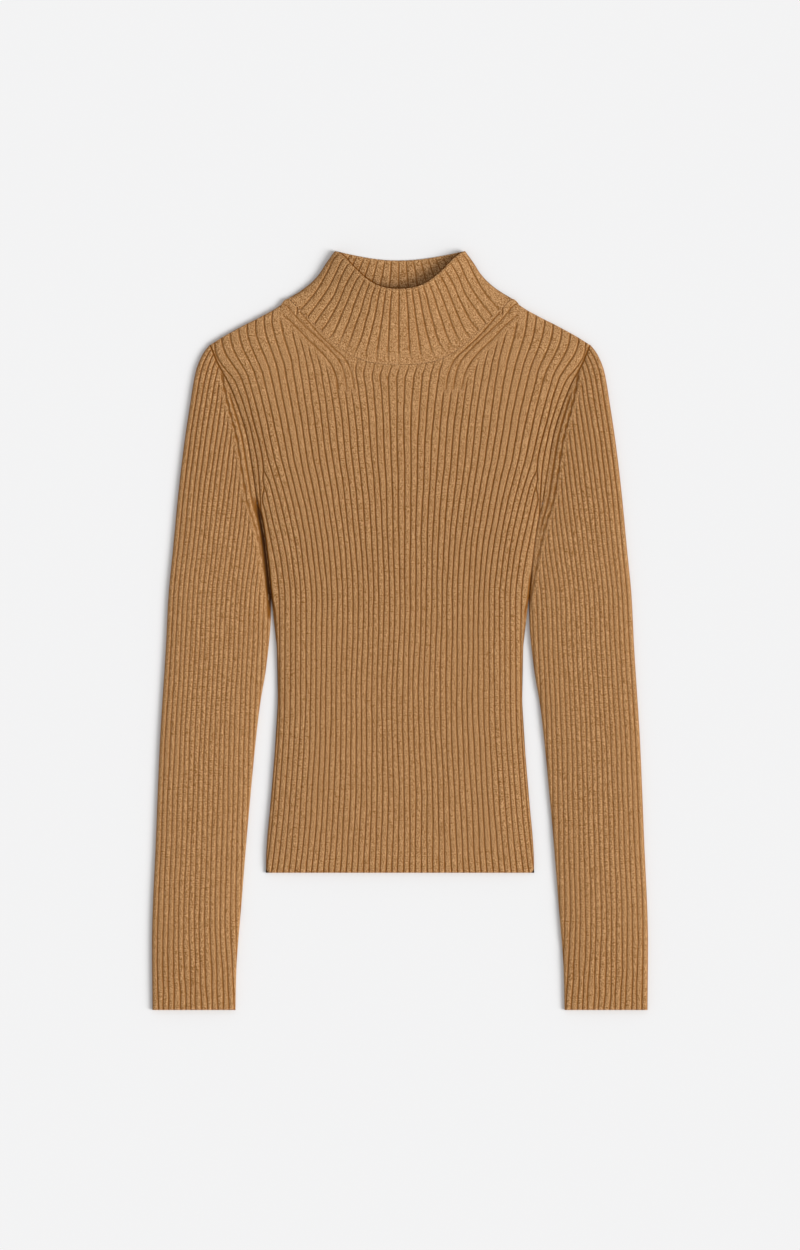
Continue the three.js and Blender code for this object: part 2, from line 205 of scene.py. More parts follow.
@dataclass
class Skin:
    """A grid of points with what the finish reads there.

    Fields: points in millimetres (rows, columns, 3), knit (rows, columns, 2) with the rib number
    and the course number, groove (rows, columns) for painted shade, from 0 on a rib to 1 in a
    valley and up to the painted shadow's value where the cloth is darkest.
    """

    points: Array
    knit: Array
    groove: Array

    @classmethod
    def over(cls, x: Array, y: Array, z: Array, rib: Array, groove: Array | float = 0.0) -> "Skin":
        """A grid from its coordinates, whose courses lie level across the garment."""
        knit = np.stack([rib, y / COURSE], -1)
        return cls(np.stack([x, y, z], -1), knit, np.broadcast_to(groove, x.shape))


class Wall:
    """One closed mesh put together from skins and the rims that join their edges."""

    def __init__(self) -> None:
        """Starts with nothing in it."""
        self.points: list[Array] = []
        self.knit: list[Array] = []
        self.groove: list[Array] = []
        self.triangles: list[Array] = []
        self.count = 0

    def skin(self, skin: Skin, turned: bool = False) -> Array:
        """Adds a grid, each cell cut along its shorter diagonal.

        Args:
            skin: the grid.
            turned: whether its faces turn the other way.

        Returns:
            The point numbers, in the grid's shape.
        """
        rows, columns = skin.points.shape[:2]
        index = self.count + np.arange(rows * columns).reshape(rows, columns)
        self.points.append(skin.points.reshape(-1, 3))
        self.knit.append(skin.knit.reshape(-1, 2))
        self.groove.append(skin.groove.reshape(-1))
        self.count += rows * columns
        a, b, c, d = index[:-1, :-1], index[:-1, 1:], index[1:, 1:], index[1:, :-1]
        p = skin.points
        first = np.linalg.norm(p[:-1, :-1] - p[1:, 1:], axis=-1)
        second = np.linalg.norm(p[:-1, 1:] - p[1:, :-1], axis=-1)
        across = first <= second
        low = np.where(across[..., None], np.stack([a, b, c], -1), np.stack([a, b, d], -1))
        high = np.where(across[..., None], np.stack([a, c, d], -1), np.stack([b, c, d], -1))
        both = np.concatenate([low.reshape(-1, 3), high.reshape(-1, 3)])
        self.triangles.append(both[:, ::-1] if turned else both)
        return index

    def rim(self, fine: Array, coarse: Array, turned: bool = False) -> None:
        """Joins two edges by a strip of triangles.

        Args:
            fine: point numbers along one edge.
            coarse: the other edge, with one segment to every few of the fine one's.
            turned: whether the strip's faces turn the other way.
        """
        each = (len(fine) - 1) // (len(coarse) - 1)
        segment = np.arange(len(fine) - 1)
        fans = np.stack([fine[:-1], fine[1:], coarse[segment // each]], -1)
        corner = fine[each::each]
        steps = np.stack([corner, coarse[1:], coarse[:-1]], -1)
        strip = np.concatenate([fans, steps])
        self.triangles.append(strip[:, ::-1] if turned else strip)

    def close(self, fine: Array, coarse: Array) -> None:
        """Fills the slivers between an edge with fine columns and one whose points lie on it.

        Args:
            fine: point numbers along the edge with columns at FINE_SHARES.
            coarse: point numbers along the edge with columns at UNDER_SHARES.
        """
        segment = np.arange(len(fine) - 1)
        common = common_columns(len(segment) // len(FINE_SHARES))
        owner = np.searchsorted(common, segment, side="right") - 1
        self.triangles.append(np.stack([fine[:-1], fine[1:], coarse[owner]], -1))

    def mesh(self, name: str) -> bpy.types.Object:
        """Welds what was added into one object whose faces point outwards.

        Points closer than a thousandth of a millimetre become one, triangles that this leaves
        without area go, and all are turned round if the volume they hold is negative.

        Args:
            name: the object's name.

        Returns:
            The object, with a UV map "knit" and an attribute "groove".
        """
        points = np.concatenate(self.points)
        triangles = np.concatenate(self.triangles)
        keys = np.round(points * 1000).astype(np.int64)
        _, first, merged = np.unique(keys, axis=0, return_index=True, return_inverse=True)
        corners = merged.reshape(-1)[triangles]
        a, b, c = corners.T
        whole = (a != b) & (b != c) & (c != a)
        corners, triangles = corners[whole], triangles[whole]
        welded = points[first] * MM
        p, q, r = (welded[corners[:, i]] for i in range(3))
        if np.einsum("ij,ij->", p, np.cross(q, r)) < 0:
            corners, triangles = corners[:, ::-1], triangles[:, ::-1]
        mesh = bpy.data.meshes.new(name)
        mesh.vertices.add(len(welded))
        mesh.loops.add(corners.size)
        mesh.polygons.add(len(corners))
        mesh.vertices.foreach_set("co", welded.astype(np.float32).ravel())
        mesh.loops.foreach_set("vertex_index", corners.astype(np.int32).ravel())
        mesh.polygons.foreach_set("loop_start", np.arange(0, corners.size, 3, dtype=np.int32))
        mesh.polygons.foreach_set("use_smooth", np.ones(len(corners), dtype=bool))
        uv = mesh.uv_layers.new(name="knit")
        knit = np.concatenate(self.knit)[triangles]
        uv.data.foreach_set("uv", knit.astype(np.float32).ravel())
        groove = mesh.attributes.new("groove", "FLOAT", "POINT")
        groove.data.foreach_set("value", np.concatenate(self.groove)[first].astype(np.float32))
        mesh.update(calc_edges=True)
        mesh.validate()
        return link(name, mesh)


def link(name: str, data: bpy.types.ID) -> bpy.types.Object:
    """Puts a new object of that name and data into the scene."""
    thing = bpy.data.objects.new(name, data)
    bpy.context.scene.collection.objects.link(thing)
    return thing


def rib_columns(first: int, last: int, shares: Sequence[float]) -> Array:
    """Column places from one whole rib number to another, with the same shares inside each rib."""
    inside = np.arange(first, last)[:, None] + np.array(shares)[None, :]
    return np.append(inside.ravel(), last)


def common_columns(ribs: int) -> Array:
    """Numbers, among columns at FINE_SHARES, of those that columns at UNDER_SHARES have too."""
    starts = np.flatnonzero(np.isin(FINE_SHARES, UNDER_SHARES))
    firsts = np.arange(ribs)[:, None] * len(FINE_SHARES) + starts[None, :]
    return np.append(firsts.ravel(), ribs * len(FINE_SHARES))


def both_sides(right: Array) -> Array:
    """Rib numbers of the whole garment from those of its right half, which begin at 0."""
    return np.concatenate([-right[:0:-1], right])


@dataclass(frozen=True)
class Wander:
    """How each valley between two ribs strays from its even place.

    Fields: reach is the largest stray in millimetres, seed starts the random phases.
    """

    reach: float
    seed: int

    def __call__(self, rib: Array, y: Array) -> Array:
        """Stray in millimetres: three slow waves for each valley, straight between two valleys.

        Args:
            rib: rib numbers.
            y: heights on the garment.

        Returns:
            The stray at each point.
        """
        rng = np.random.default_rng(self.seed)
        phases = rng.uniform(0, 2 * np.pi, (3, 80))
        waves = ((0.5, 190.0), (0.32, 77.0), (0.18, 31.0))
        valley = np.floor(rib).astype(int)
        share = rib - valley

        def at_valley(number: Array) -> Array:
            """Sum of the waves on one valley."""
            total = np.zeros(np.broadcast(number, y).shape)
            for (size, pitch), phase in zip(waves, phases, strict=True):
                total = total + size * np.sin(2 * np.pi * y / pitch + phase[number % 80])
            return total

        return self.reach * ((1 - share) * at_valley(valley) + share * at_valley(valley + 1))


def valley_share(distance: Array, reach: float) -> Array:
    """Share of a valley's depth at a distance from its middle: 1 there, 0 at reach and beyond."""
    held = np.clip(distance / reach, 0.0, 1.0)
    return (1 - held * held) ** 2


def rolled(distance: Array, radius: Array | float, soft: Array | float) -> Array:
    """Share of full height beside a fold: a quarter circle, or where soft is 1 a wider S curve."""
    return round_edge(distance, radius) * (1 - soft) + smoothstep(distance / 11.0) ** 1.3 * soft


def rib_valley(rib: Array, width: Array | float, reach: float = 1.25) -> Array:
    """Depth share of the valleys at whole rib numbers, for ribs of a width in millimetres."""
    return valley_share(np.abs(rib - np.round(rib)) * width, reach)


SHOULDER = Line((
    (111, 332.2), (114, 331.2), (116.5, 329.4), (118.5, 326.6), (120.5, 324), (125, 321.4),
    (135, 316), (145, 310.7), (155, 305.8), (165, 300.4), (175, 294.9), (190, 285.5),
))


@dataclass(frozen=True)
class Outline:
    """The body's plan: how rib lines and rows run on it.

    Rib lines up to even_ribs stand at widths that change evenly. The next ones have tables of
    their own, because two ribs start at the underarm and one more runs beside the armhole seam:
    where a rib has not started, its two lines lie together.
    """

    ribs: int = 25
    even_ribs: int = 20
    side: Line = Line((
        (-241.5, 131.5), (-235.5, 134), (-149.5, 127.4), (-59.5, 122), (10.5, 125), (30.5, 128.6),
        (70.5, 132.8), (110.5, 138.4), (126.1, 142.3), (160.5, 147.6), (194.5, 153.3),
        (222.5, 161.7), (246.5, 171.2), (268.5, 183.3), (285.5, 190),
    ))
    fan: Line = Line((
        (-241.5, 1), (190.5, 1), (245.5, 0.95), (285.5, 0.9),
    ))
    rise: Line = Line((
        (-241.5, 0), (160.5, 0), (194.5, 0.05), (222.5, 0.2), (246.5, 0.45), (268.5, 0.78), (285.5, 1),
    ))
    edge_lines: tuple[Line, ...] = (
        Line((
            (-241.5, 117), (-229.5, 115.5), (-169.5, 110.3), (-69.5, 104.8), (30.5, 104.6),
            (70.5, 108.2), (90.5, 111.2), (110.5, 115.4), (130.5, 120.2), (150.5, 125.8),
            (170.5, 131.7), (190.5, 136.3), (210.5, 141), (230.5, 146.7), (245.5, 151.6), (285.5, 163),
        )),
        Line((
            (-241.5, 123.2), (-229.5, 121.6), (-169.5, 115.4), (-69.5, 110), (30.5, 109.7),
            (70.5, 113.4), (90.5, 117.2), (110.5, 121.8), (130.5, 126.2), (150.5, 131.7),
            (156, 134.4), (160.5, 136.6), (170.5, 137.5), (190.5, 141.6), (210.5, 147.2),
            (230.5, 152.3), (245.5, 157.6), (285.5, 170),
        )),
        Line((
            (-241.5, 128.8), (-229.5, 127.1), (-169.5, 121.2), (-69.5, 115.7), (30.5, 115.3),
            (70.5, 119.4), (90.5, 123), (110.5, 127.8), (130.5, 132.2), (138, 133.8), (143.5, 135.8),
            (152, 137.3), (160.5, 136.7), (170.5, 137.6), (190.5, 141.7), (210.5, 147.3),
            (230.5, 152.4), (245.5, 157.7), (285.5, 170.1),
        )),
        Line((
            (-241.5, 134.2), (-229.5, 132.4), (-169.5, 126.2), (-69.5, 120.5), (-10, 120.6),
            (30.5, 121), (50.5, 122.4), (70.5, 125.4), (90.5, 129.4), (110.5, 133.4), (119, 135),
            (132, 138), (143.5, 135.9), (152, 137.4), (160.5, 136.8), (170.5, 137.7), (190.5, 141.8),
            (210.5, 147.4), (230.5, 152.5), (245.5, 157.8), (285.5, 170.2),
        )),
    )
    last_gap: Line = Line((
        (-241.5, 0.08), (112, 0.08), (121, 1.6), (130.5, 3.3), (150.5, 5), (170.5, 6), (190.5, 5.3),
        (210.5, 5.7), (230.5, 6.2), (250.5, 6.5), (266, 7.6), (276, 6.5), (285.5, 4.6),
    ))
    top: Points = (
        (0, 0), (13, 111), (16, 136), (20, 170), (21, 178.4), (22, 178.5), (23, 178.6), (24, 185.4),
        (25, 190),
    )
    turn_from: float = 246.5
    drift: Line = Line((
        (-241.5, -2.8), (-169.5, -1.4), (-69.5, -3.4), (30.5, -0.4), (90.5, -1.3), (150.5, -2.1),
        (190.5, -3.4), (245, -3.7), (285.5, -3),
    ))

    def level_from(self, size: Array, row: Array) -> Array:
        """Distance of a rib line from the centre.

        The even ribs' widths change evenly outwards, and past them it is straight between the
        tables. Towards the shoulder it turns into the places on the neck and shoulder edge.

        Args:
            size: rib numbers without sign.
            row: heights of the rows.

        Returns:
            The distances.
        """
        side = self.side(row)
        lines = [*(line(row) for line in self.edge_lines), side - self.last_gap(row), side]
        fan = self.fan(row)
        held = np.minimum(size, self.even_ribs)
        centre = 2 * lines[0] / (self.even_ribs * (1 + fan))
        place = centre * (held - (1 - fan) * held * held / (2 * self.even_ribs))
        for number, (low, high) in enumerate(zip(lines[:-1], lines[1:], strict=True)):
            place = place + np.clip(size - self.even_ribs - number, 0, 1) * (high - low)
        top = np.interp(size, *np.array(self.top, float).T)
        turned = smoothstep((row - self.turn_from) / (SHOULDER_TIP[1] - self.turn_from))
        return place + (top - place) * turned

    def width(self, size: Array, row: Array) -> Array:
        """Width of the rib that a place lies on."""
        low = np.minimum(np.floor(size), self.ribs - 1)
        return self.level_from(low + 1, row) - self.level_from(low, row)

    def from_side(self, size: Array, row: Array) -> Array:
        """Distance square to the side edge, for places not far from it."""
        gap = self.side(row) - self.level_from(size, row)
        return gap / np.sqrt(1 + self.side.slope(row) ** 2)

    def plan(self, rib: Array, row: Array, neck: Curve, wander: Wander) -> tuple[Array, Array]:
        """Places of rib columns on rows.

        A row is level on the body and turns, by the share rise, into the neck and shoulder edge.

        Args:
            rib: rib numbers, negative on the wearer's right.
            row: heights of the rows at the side or armhole edge.
            neck: the neck seam.
            wander: how valleys stray.

        Returns:
            x and y in plan.
        """
        size = np.abs(rib)
        top_from = self.level_from(size, np.full_like(row, SHOULDER_TIP[1]))
        top_y = np.where(top_from > NECK_CORNER[0], SHOULDER(top_from), neck.height_over(top_from))
        y = row + self.rise(row) * (top_y - SHOULDER_TIP[1])
        stray = np.clip((self.even_ribs + 1 - size) / 3, 0, 1) * wander(rib, y)
        stray = stray + np.clip(1 - size / self.even_ribs, 0, 1) * self.drift(y)
        x = np.sign(rib) * self.level_from(size, row) + np.clip((top_y - y) / 12, 0, 1) * stray
        return x, y


OUTLINE = Outline()


@dataclass(frozen=True)
class Stretch:
    """A stretch of levels on one side of the garment, faded at both ends.

    Fields: it begins at start over fade_in and ends from end over fade_out, in millimetres, and
    most is its share between them.
    """

    start: float
    fade_in: float
    end: float
    fade_out: float
    most: float = 1.0

    def __call__(self, y: Array) -> Array:
        """Share at each level."""
        begun = self.most * smoothstep((y - self.start) / self.fade_in)
        return begun * (1 - smoothstep((y - self.end) / self.fade_out))


# The cleft on the wearer's right and left, and where body and sleeve press on the left.
WIDE_CLEFT = Stretch(2, 30, 112, 30)
NARROW_CLEFT = Stretch(6, 16, 44, 24, 0.6)
PRESSED = Stretch(52, 26, 150, 40)


def cleft_share(y: Array, side: Array | int) -> Array:
    """How much levels lie in the cleft of body and sleeve; side is below 0 on the wearer's right."""
    return np.where(np.asarray(side) < 0, WIDE_CLEFT(y), NARROW_CLEFT(y))


def fold_height(y: Array, side: Array | int) -> Array:
    """Height of the side folds of body and sleeve: lower in the cleft, higher where they press."""
    pressed = np.where(np.asarray(side) < 0, 0.0, PRESSED(y))
    return MID_HEIGHT - CLEFT_DROP * cleft_share(y, side) + PRESSED_RISE * pressed


@dataclass(frozen=True)
class Puff:
    """How far the upper layer of body and collar stands off the lower one.

    Fields: height is the most it does, reach the distance from the outline over which it rises.
    """

    height: float = 3.0
    reach: float = 15.0
    top: Points = (
        (190, 285.5), (150.5, 308.7), (111, 332), (99, 339.8), (88, 348.5), (80, 357.5),
        (74, 367), (65, 379.5),
    )

    def __call__(self, x: Array | float, y: Array | float) -> Array:
        """Height at plan places: the most less its share e to the minus distance over reach.

        The distance is that to the side edge or to the shoulder and collar fold, whichever is
        less. Near the hem the height sinks to two fifths.

        Args:
            x: plan places.
            y: plan places.

        Returns:
            The height in millimetres.
        """
        level = np.minimum(y, SHOULDER_TIP[1])
        side = (OUTLINE.side(level) - np.abs(x)) / np.sqrt(1 + OUTLINE.side.slope(level - 1) ** 2)
        gap = np.where(y < SHOULDER_TIP[1], side, np.inf)
        gap = np.maximum(np.minimum(gap, Curve(self.top).distance(np.abs(x), y)), 0.0)
        hem = 0.4 + 0.6 * smoothstep((y - HEM_Y) / 30)
        return self.height * (1 - np.exp(-gap / self.reach)) * hem


PUFF = Puff()


@dataclass(frozen=True)
class NeckRibs:
    """Three ribs that follow the front neck seam and then bend down into the body's own.

    Fields: outer, middle and inner are their valleys' lines, which begin at the level start,
    half_width and depth say how wide and deep the valleys are, and corner is the place at the
    shoulder where all valleys fade.
    """

    outer: Points = (
        (117, 315.5), (108.4, 308.1), (99.5, 299.1), (92, 290.9), (83.5, 283.2), (75.3, 274.5),
        (68.8, 265.5), (64.4, 255.5), (61.6, 243), (60.4, 236),
    )
    middle: Points = (
        (117, 327), (111.3, 322.7), (104, 313.8), (96.3, 305.5), (88, 297.9), (79, 289.5),
        (71, 281.5), (64.4, 274.5), (58.6, 265.5), (54.6, 250.5), (53, 236),
    )
    inner: Points = (
        (100, 318.5), (80.4, 296), (71, 287), (63, 279.5), (56, 273), (51, 264.1), (47.4, 252.5),
        (45.5, 236),
    )
    start: float = 236.0
    half_width: float = 1.4
    depth: float = 1.15
    corner: tuple[float, float] = (113.0, 327.0)

    def valleys(self, x: Array, y: Array, rib: Array, plain: Array) -> Array:
        """Depth share of the valleys, with the body's own faded out beside these ribs.

        Args:
            x: plan places.
            y: plan places.
            rib: the body's rib numbers.
            plain: depth share of the body's own valleys.

        Returns:
            Depth share of all valleys together.
        """
        size = np.abs(x)
        curves = [Curve(table) for table in (self.outer, self.middle, self.inner)]
        gaps = [curve.distance(size, y) for curve in curves]
        above = smoothstep((y - self.start) / 8)
        line = curves[0].line[np.argsort(curves[0].line[:, 1])]
        beside = np.interp(y, line[:, 1], line[:, 0], right=117.0)
        past_neck = (y > 315) | (size > 117)
        inside = (size < beside + 0.5) & ~past_neck
        hooks = smoothstep((gaps[0] - 4.6) / 2.6)
        rows_above = smoothstep((y - 244) / 10)
        own = np.abs(rib) > 5.5
        keep = np.where(own & inside, 1 - above, 1.0)
        keep = np.where(own & ~inside, 1 - rows_above * (1 - hooks), keep)
        from_corner = np.hypot(size - self.corner[0], y - self.corner[1])
        keep = keep * smoothstep((from_corner - 3) / 9)
        lines = np.maximum.reduce([valley_share(gap, self.half_width) for gap in gaps])
        return np.maximum(plain * keep, self.depth * lines * above)


@dataclass
class Panel:
    """What the front and back panels have in common.

    Fields: area and flat are the cut sheet's, in square metres and metres, and are not used;
    neck is the neck seam, wander says how valleys stray.
    """

    name: str
    area: float
    neck: Curve
    wander: Wander
    flat: tuple[float, float] = (0.38, 0.5735)

    def grid(self, right: Array, rows: Array) -> tuple[Array, Array, Array, Array]:
        """Rib number, row height, x and y of a panel's points, from the columns at its right."""
        rib, row = np.meshgrid(both_sides(right), rows)
        return rib, row, *OUTLINE.plan(rib, row, self.neck, self.wander)

    def wall(self) -> Wall:
        """Closed wall between the fine outer and the coarse inner skin, of the same outline."""
        outer, inner = self.outer(), self.inner()
        wall = Wall()
        top = wall.skin(outer)
        base = wall.skin(inner, turned=True)
        wall.rim(top[0], base[0], turned=True)
        wall.rim(top[-1], base[-1])
        for edge, turned in ((0, False), (-1, True)):
            rows_top, rows_base = top[:, edge], base[:, edge]
            heights = outer.points[:, edge, 1]
            nearest = np.searchsorted(inner.points[:, edge, 1], heights, side="right") - 1
            nearest = np.clip(nearest, 0, len(rows_base) - 2)
            nearest[-1] = len(rows_base) - 2
            fans = np.stack([rows_top[:-1], rows_top[1:], rows_base[nearest[:-1]]], -1)
            turn = np.flatnonzero(np.diff(nearest)) + 1
            step = nearest[turn]
            steps = np.stack([rows_top[turn], rows_base[step], rows_base[step - 1]], -1)
            last = np.array([[rows_top[-1], rows_base[-1], rows_base[-2]]])
            strip = np.concatenate([fans, steps, last])
            wall.triangles.append(strip[:, ::-1] if turned else strip)
        return wall


@dataclass
class Front(Panel):
    """Front panel: ribs on its outer side from the hem to the shoulders, plain inside."""

    name: str = "front_knit"
    area: float = 0.150
    neck: Curve = field(default_factory=lambda: Curve(FRONT_NECK))
    wander: Wander = Wander(0.62, 11)
    neck_ribs: NeckRibs = NeckRibs()

    def rows(self) -> Array:
        """Heights of the rows, close together at the hem and near the neck."""
        hem = HEM_Y + np.array([0, 0.5, 1.2, 2.4, 4])
        body = np.concatenate([np.arange(HEM_Y + 7, 60, 5.2), np.arange(61, 216, 3.7)])
        yoke = np.arange(218, SHOULDER_TIP[1] - 0.3, 1.15)
        return np.concatenate([hem, body, yoke, [SHOULDER_TIP[1] - 0.3, SHOULDER_TIP[1]]])

    def depth(self, x: Array, y: Array, row: Array) -> Array:
        """Share of a valley's depth that is left where the cloth is stretched.

        It is most across the chest and by the armholes, less towards the hem, and least just
        below the neck seam.

        Args:
            x: plan places.
            y: plan places.
            row: heights of the rows.

        Returns:
            The share.
        """
        chest = 0.66 + 0.12 * smoothstep((y + 40) / 130) - 0.1 * smoothstep((y - 200) / 50)
        armhole = np.exp(-(((y - 190) / 60) ** 2)) * smoothstep((np.abs(x) - 105) / 45)
        from_seam = np.maximum(SHOULDER_TIP[1] - row, 0) * 0.8
        at_neck = np.exp(-((from_seam / 6) ** 2)) * (1 - smoothstep((np.abs(x) - 40) / 25))
        return (chest + 0.1 * armhole) * (1 - 0.5 * at_neck)

    def outer(self) -> Skin:
        """Upper skin.

        Its height is the base and the wall, thin in valleys, lowered along each edge by a quarter
        circle: down to the side fold below the underarm, into the seam above it. The groove value
        says where the finish paints shade: in valleys, more near the hem, along the armhole seam,
        and up to the cleft's painted shadow at the side edge in the cleft.

        Returns:
            The grid of points.
        """
        right = rib_columns(0, OUTLINE.ribs, FINE_SHARES)
        rib, row, x, y = self.grid(right, self.rows())
        size = np.abs(rib)
        plain = rib_valley(rib, OUTLINE.width(size, row))
        valley = self.depth(x, y, row) * self.neck_ribs.valleys(x, y, rib, plain)
        edge = OUTLINE.from_side(size, row)
        armhole = smoothstep((row - UNDERARM_Y + 4) / 16)
        puff = PUFF(x, y)
        top = FRONT_BASE + CREST_WALL - (CREST_WALL - VALLEY_WALL) * valley + puff
        side_height = fold_height(row, rib) + 0.35 + 0.9 * armhole
        cleft = cleft_share(y, rib)
        z = side_height + (top - side_height) * round_edge(edge, FOLD_RADIUS - armhole - 1.1 * cleft)
        hem = row - HEM_Y
        ends = np.minimum(hem, (SHOULDER_TIP[1] - row) * 1.6)
        low = FRONT_BASE + VALLEY_WALL + puff
        share = 0.25 + 0.5 * (1 - smoothstep(size - 12)) * smoothstep(row)
        z = np.minimum(z, low + (z - low) * (share + (1 - share) * round_edge(ends, EDGE_RADIUS)))
        y = y + 0.6 * valley * (1 - smoothstep(hem / 5))
        # Painted shadow of the cleft along the side edge, a groove above 1.
        dark = CLEFT_SHADOW_GROOVE * cleft * (1 - smoothstep((edge - 0.8) / 2.2))
        seam = np.maximum(armhole * valley_share(edge, 1.1), dark)
        # Groove for painted shade: the valleys, more towards the hem, and a line along the armhole
        # seam.
        groove = np.maximum(valley * (1 + 0.25 * (1 - smoothstep(hem / 24))), seam)
        return Skin.over(x, y, z, rib, groove)

    def inner(self) -> Skin:
        """Lower skin, level at the panel's base, with a column for each rib line."""
        rows = self.rows()
        few = np.concatenate([rows[:1], rows[5:-4:5], rows[-1:]])
        rib, row, x, y = self.grid(np.arange(OUTLINE.ribs + 1.0), few)
        side = np.abs(rib) == OUTLINE.ribs
        z = np.where(side, fold_height(row, rib) + 0.1, FRONT_BASE + PUFF(x, y))
        return Skin.over(x, y, z, rib)


@dataclass
class Back(Panel):
    """Back panel, under the front: shallow grooves on its underside, plain inside."""

    name: str = "back_knit"
    area: float = 0.156
    neck: Curve = field(default_factory=lambda: Curve(BACK_NECK))
    wander: Wander = Wander(0.4, 12)

    def rows(self) -> Array:
        """Heights of the rows."""
        return np.concatenate([
            [HEM_Y, HEM_Y + 1.5, HEM_Y + 4],
            np.arange(HEM_Y + 10, 216, 9.0),
            np.arange(220, SHOULDER_TIP[1] - 1, 4.0),
            [SHOULDER_TIP[1]],
        ])

    def outer(self) -> Skin:
        """Underside: on the floor along the ribs, a little above it in the valleys and edges."""
        rib, row, x, y = self.grid(rib_columns(0, OUTLINE.ribs, UNDER_SHARES), self.rows())
        valley = rib_valley(rib, OUTLINE.width(np.abs(rib), row), UNDER_REACH)
        edge = OUTLINE.from_side(np.abs(rib), row)
        side = fold_height(row, rib) - 0.35
        z = side + (UNDER_GROOVE * valley - side) * round_edge(edge, FOLD_RADIUS)
        return Skin.over(x, y, z, rib, valley)

    def inner(self) -> Skin:
        """Upper side, level, with a column for each rib line."""
        rows = self.rows()
        few = np.concatenate([rows[:1], rows[3:-3:6], rows[-1:]])
        rib, row, x, y = self.grid(np.arange(OUTLINE.ribs + 1.0), few)
        side = np.abs(rib) == OUTLINE.ribs
        return Skin.over(x, y, np.where(side, fold_height(row, rib) - 0.1, PLAIN_WALL), rib)


